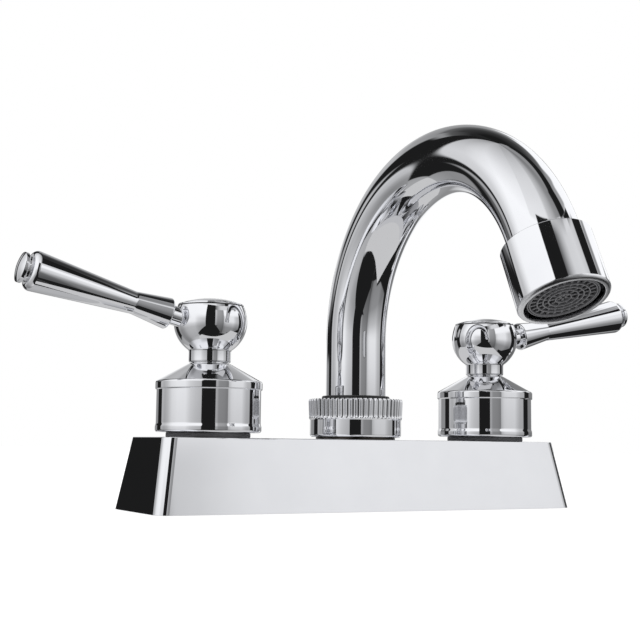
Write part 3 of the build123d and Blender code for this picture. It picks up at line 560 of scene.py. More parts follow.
@dataclass
class Outline:
    """A turned piece's section: points of radius and distance, with rounded corners."""

    points: list[Point] = field(default_factory=list)
    turn_step: float = math.radians(11)

    def to(self, radius: float, distance: float) -> "Outline":
        """Goes straight to a point."""
        self.points.append((radius, distance))
        return self

    def round(self, radius: float, distance: float, size: float, after: Point) -> "Outline":
        """Goes to a corner and round it.

        Args:
            radius: The corner's radius from the axis.
            distance: The corner's distance along the axis.
            size: The rounding's radius.
            after: The next point, towards which the rounding leaves.

        Returns:
            This outline.
        """
        corner = Vector((radius, distance))
        back = (Vector(self.points[-1]) - corner).normalized()
        ahead = (Vector(after) - corner).normalized()
        opening = back.angle(ahead)
        turn = math.pi - opening
        reach = size * math.tan(turn / 2)
        centre = corner + (back + ahead).normalized() * (size / math.sin(opening / 2))
        start = corner + back * reach - centre
        end = corner + ahead * reach - centre
        steps = max(2, math.ceil(turn / self.turn_step))
        for step in range(steps + 1):
            share = step / steps
            spoke = (start * math.sin((1 - share) * turn) + end * math.sin(share * turn)) / math.sin(turn)
            self.points.append(tuple(centre + spoke))
        return self

    def ellipse(
        self, centre: Point, across: float, tall: float, start: float, end: float, steps: int
    ) -> "Outline":
        """Follows an elliptical arc between two parameter angles, in degrees.

        Args:
            centre: The ellipse's centre.
            across: Its half width, in radius.
            tall: Its half height, in distance.
            start: Angle of the first point.
            end: Angle of the last point.
            steps: Number of straight parts.

        Returns:
            This outline.
        """
        for step in range(steps + 1):
            angle = math.radians(start + (end - start) * step / steps)
            x = centre[0] + across * math.cos(angle)
            z = centre[1] + tall * math.sin(angle)
            self.points.append((x, z))
        return self


@dataclass
class Workshop:
    """Makes Blender objects from bmeshes and puts finish, normals and body on them."""

    collection: bpy.types.Collection = field(default_factory=lambda: bpy.context.scene.collection)

    def turned(
        self,
        name: str,
        outline: Outline,
        axis: TurningAxis,
        closed: bool = True,
        steps: int = 144,
        shape: Callable[[bmesh.types.BMesh], None] | None = None,
    ) -> bpy.types.Object:
        """Spins an outline about an axis into an object.

        Args:
            name: The object's name.
            outline: The section.
            axis: The line it turns about.
            closed: Whether the section is a ring; if not, its ends lie on the axis.
            steps: Segments in the full turn.
            shape: Further work on the spun mesh.

        Returns:
            The new object.
        """
        mesh = bmesh.new()
        corners = [mesh.verts.new(axis.place(*point)) for point in outline.points]
        follows = corners[1:] + corners[:1] if closed else corners[1:]
        edges = [mesh.edges.new(pair) for pair in zip(corners, follows)]
        bmesh.ops.spin(
            mesh,
            geom=[*corners, *edges],
            cent=axis.origin * MM,
            axis=axis.along,
            angle=math.tau,
            steps=steps,
            use_merge=True,
        )
        bmesh.ops.remove_doubles(mesh, verts=mesh.verts, dist=MERGE_DISTANCE)
        if shape is not None:
            shape(mesh)
        bmesh.ops.recalc_face_normals(mesh, faces=mesh.faces)
        return self.finished(name, mesh)

    def finished(self, name: str, mesh: bmesh.types.BMesh) -> bpy.types.Object:
        """Turns a bmesh into a smooth-shaded object with weighted normals.

        Args:
            name: The object's name.
            mesh: Its mesh, used up here.

        Returns:
            The new object.
        """
        data = bpy.data.meshes.new(name)
        mesh.to_mesh(data)
        mesh.free()
        data.shade_smooth()
        data.set_sharp_from_angle(angle=SHARP_ANGLE)
        made = bpy.data.objects.new(name, data)
        self.collection.objects.link(made)
        weighted = made.modifiers.new("weighted_normals", "WEIGHTED_NORMAL")
        weighted.keep_sharp = True
        weighted.weight = 100
        return made

    @staticmethod
    def extruded(
        mesh: bmesh.types.BMesh, edges: Iterable[bmesh.types.BMEdge]
    ) -> tuple[list[bmesh.types.BMEdge], list[bmesh.types.BMVert]]:
        """Extrudes a ring of edges in place.

        Args:
            mesh: The mesh that holds the ring.
            edges: The ring.

        Returns:
            The new ring's edges and its vertices.
        """
        made = bmesh.ops.extrude_edge_only(mesh, edges=list(edges))
        verts = [part for part in made["geom"] if isinstance(part, bmesh.types.BMVert)]
        fresh = set(verts)
        ring = [e for e in made["geom"] if isinstance(e, bmesh.types.BMEdge) and set(e.verts) <= fresh]
        return ring, verts

    def dress(
        self, piece: bpy.types.Object, finish: Finish, body: str, replaced: Sequence[str] = ()
    ) -> bpy.types.Object:
        """Gives a new piece its finish, body and the nodes it stands for.

        Args:
            piece: The object.
            finish: What it is made to look like.
            body: The moving body it rides on.
            replaced: Names of the nodes it stands for.

        Returns:
            The same object.
        """
        piece.data.materials.clear()
        piece.data.materials.append(finish.material())
        if replaced:
            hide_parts(*replaced)
        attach(piece, body)
        LOG.info("%s: %d faces, rides %s", piece.name, len(piece.data.polygons), body)
        return piece


@dataclass
class DeckBase:
    """The tapered cover that the tap stands on."""

    length: float = 146.4
    depth: float = 36.0
    height: float = 21.6
    end_taper: float = 3.5
    face_taper: float = 3.9
    front_corner: float = 3.6
    back_corner: float = 1.4
    corner_segments: int = 10
    top_edge: float = 0.3
    top_edge_steps: int = 4
    wall: float = 1.3
    valve_x: float = 50.8
    neck_hole: float = 10.5
    post_hole: float = 9.7
    hole_segments: int = 64

    def build(self, shop: Workshop) -> bpy.types.Object:
        """The cover: a tapered wall, a rounded roof edge and a roof pierced for the three risers.

        Args:
            shop: Makes the object from the mesh.

        Returns:
            The cover's object.
        """
        mesh = bmesh.new()
        bmesh.ops.create_grid(mesh, x_segments=1, y_segments=1, size=0.5)
        bmesh.ops.scale(mesh, vec=(self.length * MM, self.depth * MM, 1), verts=mesh.verts)
        front = [vert for vert in mesh.verts if vert.co.y < 0]
        back = [vert for vert in mesh.verts if vert.co.y > 0]
        for corners, offset in ((front, self.front_corner), (back, self.back_corner)):
            bmesh.ops.bevel(
                mesh,
                geom=corners,
                offset=offset * MM,
                segments=self.corner_segments,
                profile=0.5,
                affect="VERTICES",
                material=-1,
            )
        rim = list(mesh.edges)
        bmesh.ops.delete(mesh, geom=list(mesh.faces), context="FACES_ONLY")
        rim, verts = shop.extruded(mesh, rim)
        for vert in verts:
            vert.co.x -= math.copysign(self.end_taper * MM, vert.co.x)
            vert.co.y -= math.copysign(self.face_taper * MM, vert.co.y)
            vert.co.z += (self.height - self.top_edge) * MM
        rim = self.round_top(shop, mesh, rim)
        self.pierce_roof(mesh, rim)
        bmesh.ops.solidify(mesh, geom=list(mesh.faces), thickness=self.wall * MM)
        # The sloping wall's inner foot comes out below the deck, so it is trimmed level with it.
        for vert in mesh.verts:
            vert.co.z = max(vert.co.z, 0.0)
        piece = shop.finished("deck_cover", mesh)
        return shop.dress(piece, CHROME, "tap_body", ["deck_shell"])

    def towards_corner(self, place: Vector) -> Vector:
        """The level direction from a point of the upper rim to the centre of its rounded corner.

        Args:
            place: The point of the rim, in metres.

        Returns:
            A unit vector.
        """
        corner = self.front_corner if place.y < 0 else self.back_corner
        x = math.copysign(self.length / 2 - self.end_taper - corner, place.x) * MM
        y = math.copysign(self.depth / 2 - self.face_taper - corner, place.y) * MM
        return (Vector((x, y, 0)) - Vector((place.x, place.y, 0))).normalized()

    def round_top(
        self, shop: Workshop, mesh: bmesh.types.BMesh, rim: list[bmesh.types.BMEdge]
    ) -> list[bmesh.types.BMEdge]:
        """Carries the wall's rim over a quarter circle into the roof.

        Args:
            shop: Extrudes the rim.
            mesh: The cover's mesh.
            rim: The wall's upper ring of edges.

        Returns:
            The ring of edges at the roof's level.
        """
        for step in range(self.top_edge_steps):
            before, after = (math.pi / 2 * (step + more) / self.top_edge_steps for more in (0, 1))
            inset = self.top_edge * (math.cos(before) - math.cos(after)) * MM
            rise = self.top_edge * (math.sin(after) - math.sin(before)) * MM
            rim, verts = shop.extruded(mesh, rim)
            for vert in verts:
                vert.co += self.towards_corner(vert.co) * inset
                vert.co.z += rise
        return rim

    def pierce_roof(self, mesh: bmesh.types.BMesh, rim: list[bmesh.types.BMEdge]) -> None:
        """Fills the roof inside its rim, round the three holes.

        Args:
            mesh: The cover's mesh.
            rim: The ring of edges round the roof.
        """
        holes: list[bmesh.types.BMEdge] = []
        risers = {-self.valve_x: self.neck_hole, 0.0: self.post_hole, self.valve_x: self.neck_hole}
        for x, radius in risers.items():
            place = Matrix.Translation((x * MM, 0, self.height * MM))
            made = bmesh.ops.create_circle(
                mesh, segments=self.hole_segments, radius=radius * MM, matrix=place
            )
            holes += {edge for vert in made["verts"] for edge in vert.link_edges}
        bmesh.ops.triangle_fill(mesh, edges=rim + holes, use_beauty=True, use_dissolve=True)
        bmesh.ops.recalc_face_normals(mesh, faces=mesh.faces)


@dataclass
class Bell:
    """The conical escutcheon over one valve, on its rubber ring."""

    side: Side
    valve_x: float = 50.8
    deck: float = 21.6
    gasket_radius: float = 12.6
    gasket_height: float = 1.5
    gasket_bore: float = 10.5
    wall_radius: float = 15.6
    height: float = 15.4
    foot_bead: float = 15.85
    foot_bead_height: float = 1.75
    foot_round: float = 0.8
    foot_cove: float = 1.6
    foot_cove_height: float = 2.6
    top_bead: float = 16.0
    top_bead_height: float = 2.7
    rim_round: float = 0.8
    roof_rise: float = 5.1
    roof_top_radius: float = 6.2
    roof_hole: float = 5.6
    thread_bore: float = 10.25
    thread_length: float = 5.0
    inner_radius: float = 14.2
    roof_wall: float = 1.3
    bead_lead: float = 0.15
    bead_rise: float = 0.1
    bead_round: float = 0.3
    rim_drop: float = 0.35
    roof_round: float = 0.3
    gasket_round: float = 0.3
    gasket_gap: float = 0.02
    turn_step: float = math.radians(7)

    @property
    def axis(self) -> TurningAxis:
        """The valve's axis."""
        return TurningAxis.upright(self.side.value * self.valve_x)

    @property
    def foot(self) -> float:
        """Height of the bell's lower rim."""
        return self.deck + self.gasket_height

    @property
    def roof_top(self) -> float:
        """Height of the top of the conical roof."""
        return self.foot + self.height + self.roof_rise

    def outline(self) -> Outline:
        """Section: foot bead, plain wall, top bead and sloping roof.

        Returns:
            The section.
        """
        foot, top = self.foot, self.foot + self.height
        foot_step, bead_step = foot + self.foot_bead_height, top - self.top_bead_height
        cove_top = foot + self.foot_cove_height
        line = Outline(turn_step=self.turn_step).to(self.thread_bore, foot)
        line.round(self.foot_bead, foot, self.foot_round, (self.foot_bead, foot_step))
        line.round(self.foot_bead, foot_step, self.foot_cove, (self.wall_radius, cove_top))
        line.round(self.wall_radius, cove_top, self.foot_cove, (self.wall_radius, bead_step))
        line.to(self.wall_radius, bead_step - self.bead_lead)
        bead_foot = bead_step + self.bead_rise
        line.round(self.top_bead, bead_foot, self.bead_round, (self.top_bead, top))
        roof_edge = (self.roof_top_radius, self.roof_top)
        line.round(self.top_bead, top - self.rim_drop, self.rim_round, roof_edge)
        line.round(*roof_edge, self.roof_round, (self.roof_hole, self.roof_top))
        line.to(self.roof_hole, self.roof_top)
        line.to(self.roof_hole, self.roof_top - self.roof_wall)
        line.to(self.inner_radius, top - self.roof_wall)
        line.to(self.inner_radius, foot + self.thread_length)
        return line.to(self.thread_bore, foot + self.thread_length)

    def gasket_outline(self) -> Outline:
        """Section of the squeezed rubber ring, with its outer face bulged a little.

        Returns:
            The section.
        """
        low, high = self.deck + self.gasket_gap, self.foot - self.gasket_gap
        line = Outline().to(self.gasket_bore, low)
        line.round(self.gasket_radius, low, self.gasket_round, (self.gasket_radius, high))
        line.round(self.gasket_radius, high, self.gasket_round, (self.gasket_bore, high))
        return line.to(self.gasket_bore, high)

    def build(self, shop: Workshop) -> None:
        """The bell and the ring under it.

        Args:
            shop: Makes the objects from the meshes.
        """
        label = self.side.label
        bell = shop.turned(f"bell_cover_{label}", self.outline(), self.axis)
        shop.dress(bell, CHROME, "tap_body", [f"bell_{label}"])
        ring = shop.turned(f"bell_ring_{label}", self.gasket_outline(), self.axis)
        shop.dress(ring, GASKET_RUBBER, "tap_body", [f"gasket_ring_{label}"])


@dataclass
class Handle:
    """One lever handle: ball hub on a neck, index cap and turned lever."""

    side: Side
    valve_x: float = 50.8
    foot: float = 43.9
    spigot: float = 43.0
    spigot_radius: float = 5.3
    neck_radius: float = 6.3
    neck_round: float = 0.5
    neck_cove: float = 0.35
    neck_cove_angle: float = 1.5
    bore: float = 4.25
    ball_radius: float = 11.0
    ball_tall: float = 10.2
    ball_steps: int = 24
    crown_tall: float = 12.2
    crown_angle: float = 2.0
    crown_steps: int = 20
    ball_centre: float = 55.9
    flat_radius: float = 9.77
    flat_round: float = 0.22
    groove_foot: float = 60.72
    groove_top: float = 61.06
    groove_floor: float = 9.6
    groove_slope: float = 0.04
    ring_lift: float = 0.05
    ring_gap: float = 0.01
    ring_bite: float = 0.1
    ring_sink: float = 0.04
    lip_radius: float = 9.9
    lip_round: float = 0.06
    cap_radius: float = 8.4
    cap_edge: float = 0.4
    cap_dome: float = 1.3
    cap_round: float = 0.3
    cap_slope_run: float = 1.2
    cap_slope_rise: float = 0.3
    cap_share: float = 0.9
    cap_steps: int = 14
    cap_spigot: float = 2.4
    cap_gap: float = 0.1
    lever_drop: float = 1.2
    tilt: float = math.radians(12.7)
    toe: float = math.radians(2.7)
    stub_start: float = 9.4
    stub_radius: float = 2.9
    stub_round: float = 0.15
    root: float = 14.2
    root_radius: float = 4.75
    root_round: float = 0.5
    waist: float = 25.6
    waist_radius: float = 3.35
    waist_round: float = 4.0
    shoulder: float = 56.0
    shoulder_radius: float = 5.8
    shoulder_length: float = 1.8
    shoulder_drop: float = 1.7
    shoulder_steps: int = 10
    groove_radius: float = 3.5
    groove_length: float = 1.0
    groove_round: float = 0.25
    button_radius: float = 4.4
    button_length: float = 1.4
    button_run: float = 0.4
    button_lead: float = 0.1
    lever_segments: int = 96
    button_round: float = 0.35
    button_dome: float = 0.7
    dome_steps: int = 8

    @property
    def axis(self) -> TurningAxis:
        """The valve's axis."""
        return TurningAxis.upright(self.side.value * self.valve_x)

    @property
    def lever_axis(self) -> TurningAxis:
        """The lever's tilted line, out from the valve's axis.

        Returns:
            The axis, with its outward direction level.
        """
        flat = math.cos(self.tilt)
        sign = self.side.value
        along = Vector((sign * flat * math.cos(self.toe), -flat * math.sin(self.toe), math.sin(self.tilt)))
        origin = Vector((sign * self.valve_x, 0, self.ball_centre - self.lever_drop))
        outward = along.cross(Vector((0, 0, 1))).normalized()
        return TurningAxis(origin, along, outward)

    @property
    def flat_height(self) -> float:
        """Height of the ball's flat top."""
        crown_share = math.sqrt(1 - (self.flat_radius / self.ball_radius) ** 2)
        return self.ball_centre + self.crown_tall * crown_share

    def hub_outline(self) -> Outline:
        """Section of spigot, neck and ball.

        Returns:
            The section.
        """
        neck_angle = -math.degrees(math.acos(self.neck_radius / self.ball_radius))
        groove_angle = math.degrees(math.asin((self.groove_foot - self.ball_centre) / self.crown_tall))
        ball_foot = self.ball_centre - self.ball_tall * math.sin(math.radians(-neck_angle))
        line = Outline().to(self.bore, self.spigot).to(self.spigot_radius, self.spigot)
        line.to(self.spigot_radius, self.foot)
        line.round(self.neck_radius, self.foot, self.neck_round, (self.neck_radius, ball_foot))
        line.to(self.neck_radius, ball_foot - self.neck_cove)
        centre, across = (0, self.ball_centre), self.ball_radius
        ball_angle = neck_angle + self.neck_cove_angle
        line.ellipse(centre, across, self.ball_tall, ball_angle, 0, self.ball_steps)
        line.ellipse(centre, across, self.crown_tall, self.crown_angle, groove_angle, self.crown_steps)
        line.to(self.groove_floor, self.groove_foot + self.groove_slope)
        line.to(self.groove_floor, self.groove_top)
        flat = (self.flat_radius, self.flat_height)
        line.round(self.lip_radius, self.groove_top, self.lip_round, flat)
        line.round(*flat, self.flat_round, (self.bore, self.flat_height))
        return line.to(self.bore, self.flat_height)

    def dark_ring_outline(self) -> Outline:
        """Section of the black ring in the groove near the hub's top: a seal under the cap, made black
        also as painted shade for the groove.

        Returns:
            The section.
        """
        low, high = self.groove_foot + self.ring_lift, self.groove_top - self.ring_gap
        inner, outer = self.groove_floor - self.ring_bite, self.lip_radius - self.ring_sink
        return Outline().to(inner, low).to(outer, low).to(outer, high).to(inner, high)

    def cap_outline(self) -> Outline:
        """Section of the shallow domed cap and its spigot.

        Returns:
            The section.
        """
        top = self.flat_height + self.cap_edge
        sphere = (self.cap_radius**2 + self.cap_dome**2) / (2 * self.cap_dome)
        half = math.degrees(math.asin(self.cap_radius / sphere))
        centre = top + self.cap_dome - sphere
        spigot_foot = self.flat_height - self.cap_spigot
        spigot = self.bore - self.cap_gap
        line = Outline().to(0, spigot_foot).to(spigot, spigot_foot)
        line.to(spigot, self.flat_height).to(self.cap_radius, self.flat_height)
        slope_end = (self.cap_radius - self.cap_slope_run, top + self.cap_slope_rise)
        line.round(self.cap_radius, top, self.cap_round, slope_end)
        dome_start = 90 - half * self.cap_share
        return line.ellipse((0, centre), sphere, sphere, dome_start, 90, self.cap_steps)

    def lever_outline(self) -> Outline:
        """Section of the lever from its stub to the button on its end.

        Returns:
            The section.
        """
        groove = self.shoulder + self.shoulder_length
        button = groove + self.groove_length
        end = button + self.button_length
        edge = self.button_radius - self.button_round
        sphere = (edge**2 + self.button_dome**2) / (2 * self.button_dome)
        half = math.degrees(math.asin(edge / sphere))
        line = Outline().to(0, self.stub_start).to(self.stub_radius, self.stub_start)
        line.round(self.stub_radius, self.root, self.stub_round, (self.root_radius, self.root))
        line.round(self.root_radius, self.root, self.root_round, (self.waist_radius, self.waist))
        shoulder = (self.shoulder_radius, self.shoulder)
        line.round(self.waist_radius, self.waist, self.waist_round, shoulder)
        lip = self.shoulder_radius - self.shoulder_drop
        arc = Outline().ellipse(
            (self.shoulder, lip), self.shoulder_length, self.shoulder_drop, 90, 0, self.shoulder_steps
        )
        line.points += [(radius, distance) for distance, radius in arc.points]
        line.round(self.groove_radius, groove, self.groove_round, (self.groove_radius, button))
        line.round(self.groove_radius, button, self.groove_round, (self.button_radius, button))
        line.round(self.button_radius, button, self.button_round, (self.button_radius, end))
        slope_end = (edge - self.button_run, end + self.button_lead)
        line.round(self.button_radius, end - self.button_lead, self.button_round, slope_end)
        for step in range(1, self.dome_steps + 1):
            angle = math.radians(half * (1 - step / self.dome_steps))
            line.to(sphere * math.sin(angle), end + self.button_dome - sphere * (1 - math.cos(angle)))
        return line

    def build(self, shop: Workshop) -> None:
        """Hub, cap and lever.

        Args:
            shop: Makes the objects from the meshes.
        """
        label = self.side.label
        body = f"{label}_handle"
        hub = shop.turned(f"hub_{label}", self.hub_outline(), self.axis)
        shop.dress(hub, CHROME, body, [f"handle_hub_{label}"])
        # A black ring in the groove: a seal, and painted shade for the dark line under the cap.
        seal = shop.turned(f"hub_ring_{label}", self.dark_ring_outline(), self.axis)
        shop.dress(seal, RING_RUBBER, body)
        cap = shop.turned(f"cap_{label}", self.cap_outline(), self.axis, closed=False)
        shop.dress(cap, CHROME, body, [f"index_cap_{label}"])
        lever = shop.turned(
            f"lever_{label}",
            self.lever_outline(),
            self.lever_axis,
            closed=False,
            steps=self.lever_segments,
        )
        shop.dress(lever, CHROME, body, [f"handle_lever_{label}"])


@dataclass
class CouplingNut:
    """The fluted nut that holds the spout down, and the rubber ring on top of it."""

    foot: float = 22.3
    bore: float = 12.7
    tube_hole: float = 9.62
    plain_radius: float = 14.5
    plain_height: float = 5.8
    foot_round: float = 0.9
    flute_foot_radius: float = 14.78
    flute_top_radius: float = 15.05
    flute_height: float = 6.2
    top_round: float = 0.3
    web: float = 2.4
    flute_count: int = 60
    flute_depth: float = 0.42
    flute_runout: float = 1.1
    flute_rows: int = 16
    flute_slack: float = 0.05
    flute_lead: float = 0.35
    flute_bite: float = 0.1
    row_growth: float = 1.6
    steps_per_flute: int = 8
    washer_radius: float = 10.8
    washer_height: float = 1.0
    washer_round: float = 0.44
    washer_gap: float = 0.05
    tube_radius: float = 9.54

    @property
    def flute_floor(self) -> float:
        """The smallest radius that the flutes are cut from."""
        return self.plain_radius - self.flute_bite

    @property
    def flute_foot(self) -> float:
        """Height where the flutes start."""
        return self.foot + self.plain_height

    @property
    def top(self) -> float:
        """Height of the nut's top face."""
        return self.flute_foot + self.flute_height

    def outline(self) -> Outline:
        """Section: plain half, flared half with many rings for the flutes, web and bore.

        Returns:
            The section.
        """
        line = Outline().to(self.bore, self.foot)
        line.round(self.plain_radius, self.foot, self.foot_round, (self.plain_radius, self.flute_foot))
        line.to(self.plain_radius, self.flute_foot - self.flute_lead)
        rise = self.flute_height - self.top_round
        flare = self.flute_top_radius - self.flute_foot_radius
        for row in range(self.flute_rows + 1):
            share = (row / self.flute_rows) ** self.row_growth
            line.to(self.flute_foot_radius + flare * share, self.flute_foot + rise * share)
        line.to(self.flute_top_radius - self.top_round, self.top)
        line.to(self.tube_hole, self.top).to(self.tube_hole, self.top - self.web)
        return line.to(self.bore, self.top - self.web)

    def cut_flutes(self, mesh: bmesh.types.BMesh) -> None:
        """Sinks round grooves into the flared half; each runs out in a rounded lower end.

        Args:
            mesh: The spun nut.
        """
        pitch = math.tau / self.flute_count
        for vert in mesh.verts:
            height, radius = vert.co.z / MM, math.hypot(vert.co.x, vert.co.y) / MM
            if height < self.flute_foot - self.flute_slack or radius < self.flute_floor:
                continue
            turn = (math.atan2(vert.co.y, vert.co.x) % pitch) / pitch
            across = 2 * turn - 1
            rise = min(1.0, (height - self.flute_foot) / self.flute_runout)
            opened = math.sqrt(max(0.0, 1 - (1 - rise) ** 2))
            if opened <= 0 or abs(across) >= opened:
                continue
            groove = self.flute_depth * math.sqrt(1 - (across / opened) ** 2) * opened
            shrink = (radius - groove) / radius
            vert.co.x *= shrink
            vert.co.y *= shrink

    def washer_outline(self) -> Outline:
        """Section of the round-edged rubber ring.

        Returns:
            The section.
        """
        low = self.top + self.washer_gap
        high = low + self.washer_height
        line = Outline().to(self.tube_radius, low)
        line.round(self.washer_radius, low, self.washer_round, (self.washer_radius, high))
        line.round(self.washer_radius, high, self.washer_round, (self.tube_radius, high))
        return line.to(self.tube_radius, high)

    def build(self, shop: Workshop) -> None:
        """The nut on the tap's body and the ring on the spout.

        Args:
            shop: Makes the objects from the meshes.
        """
        steps = self.flute_count * self.steps_per_flute
        axis = TurningAxis.upright()
        nut = shop.turned("fluted_nut", self.outline(), axis, steps=steps, shape=self.cut_flutes)
        shop.dress(nut, CHROME, "tap_body", ["spout_nut"])
        washer = shop.turned("spout_ring", self.washer_outline(), axis)
        shop.dress(washer, RING_RUBBER, "spout", ["tube_washer"])


@dataclass
class Gooseneck:
    """The bent spout tube and its threaded tip."""

    tube_radius: float = 9.53
    tube_wall: float = 1.0
    foot: float = 31.0
    riser_top: float = 52.4
    bend_radius: float = 49.1
    bend_angle: float = math.radians(155.4)
    tail: float = 7.0
    bend_steps: int = 110
    ring_segments: int = 160
    tip_start: float = 3.0
    shoulder_radius: float = 11.3
    shoulder_height: float = 0.6
    thread_radius: float = 10.9
    lip_radius: float = 8.5
    lip_height: float = 2.0
    braze_gap: float = 0.01

    @property
    def outlet_axis(self) -> TurningAxis:
        """The outlet's line, from the end of the bend.

        Returns:
            The axis, pointing out of the spout.
        """
        turn = self.bend_angle
        across = self.bend_radius * (math.cos(turn) - 1)
        origin = Vector((0, across, self.riser_top + self.bend_radius * math.sin(turn)))
        along = Vector((0, -math.sin(turn), math.cos(turn)))
        return TurningAxis(origin, along, Vector((1, 0, 0)))

    def tube(self, shop: Workshop) -> bpy.types.Object:
        """A circle carried up the riser, round the bend and along the tail, with a wall.

        Args:
            shop: Makes the objects from the meshes.

        Returns:
            The tube's object.
        """
        mesh = bmesh.new()
        foot = Matrix.Translation((0, 0, self.foot * MM))
        ring = bmesh.ops.create_circle(
            mesh, segments=self.ring_segments, radius=self.tube_radius * MM, matrix=foot
        )
        edges = list({edge for vert in ring["verts"] for edge in vert.link_edges})
        edges, verts = shop.extruded(mesh, edges)
        bmesh.ops.translate(mesh, vec=(0, 0, (self.riser_top - self.foot) * MM), verts=verts)
        bent = bmesh.ops.spin(
            mesh,
            geom=edges,
            cent=(0, -self.bend_radius * MM, self.riser_top * MM),
            axis=(1, 0, 0),
            angle=self.bend_angle,
            steps=self.bend_steps,
        )
        edges = [part for part in bent["geom_last"] if isinstance(part, bmesh.types.BMEdge)]
        edges, verts = shop.extruded(mesh, edges)
        bmesh.ops.translate(mesh, vec=self.outlet_axis.along * self.tail * MM, verts=verts)
        bmesh.ops.remove_doubles(mesh, verts=mesh.verts, dist=MERGE_DISTANCE)
        bmesh.ops.recalc_face_normals(mesh, faces=mesh.faces)
        piece = shop.finished("gooseneck_tube", mesh)
        wall = piece.modifiers.new("wall", "SOLIDIFY")
        wall.thickness = self.tube_wall * MM
        wall.offset = -1
        piece.modifiers.move(1, 0)
        return shop.dress(piece, CHROME, "spout", ["spout_tube"])

    def tip_outline(self) -> Outline:
        """Section of the brazed tip: sloped shoulder, thread and inner lip.

        Returns:
            The section.
        """
        end = self.tail + self.lip_height
        step = self.tip_start + self.shoulder_height
        bore = self.tube_radius + self.braze_gap
        line = Outline().to(bore, self.tip_start)
        line.to(self.shoulder_radius, self.tip_start).to(self.shoulder_radius, step)
        line.to(self.thread_radius, step)
        line.to(self.thread_radius, end).to(self.lip_radius, end)
        return line.to(self.lip_radius, self.tail).to(bore, self.tail)

    def build(self, shop: Workshop) -> None:
        """The tube and its tip.

        Args:
            shop: Makes the objects from the meshes.
        """
        self.tube(shop)
        tip = shop.turned("gooseneck_tip", self.tip_outline(), self.outlet_axis)
        shop.dress(tip, CHROME, "spout", ["spout_tip"])


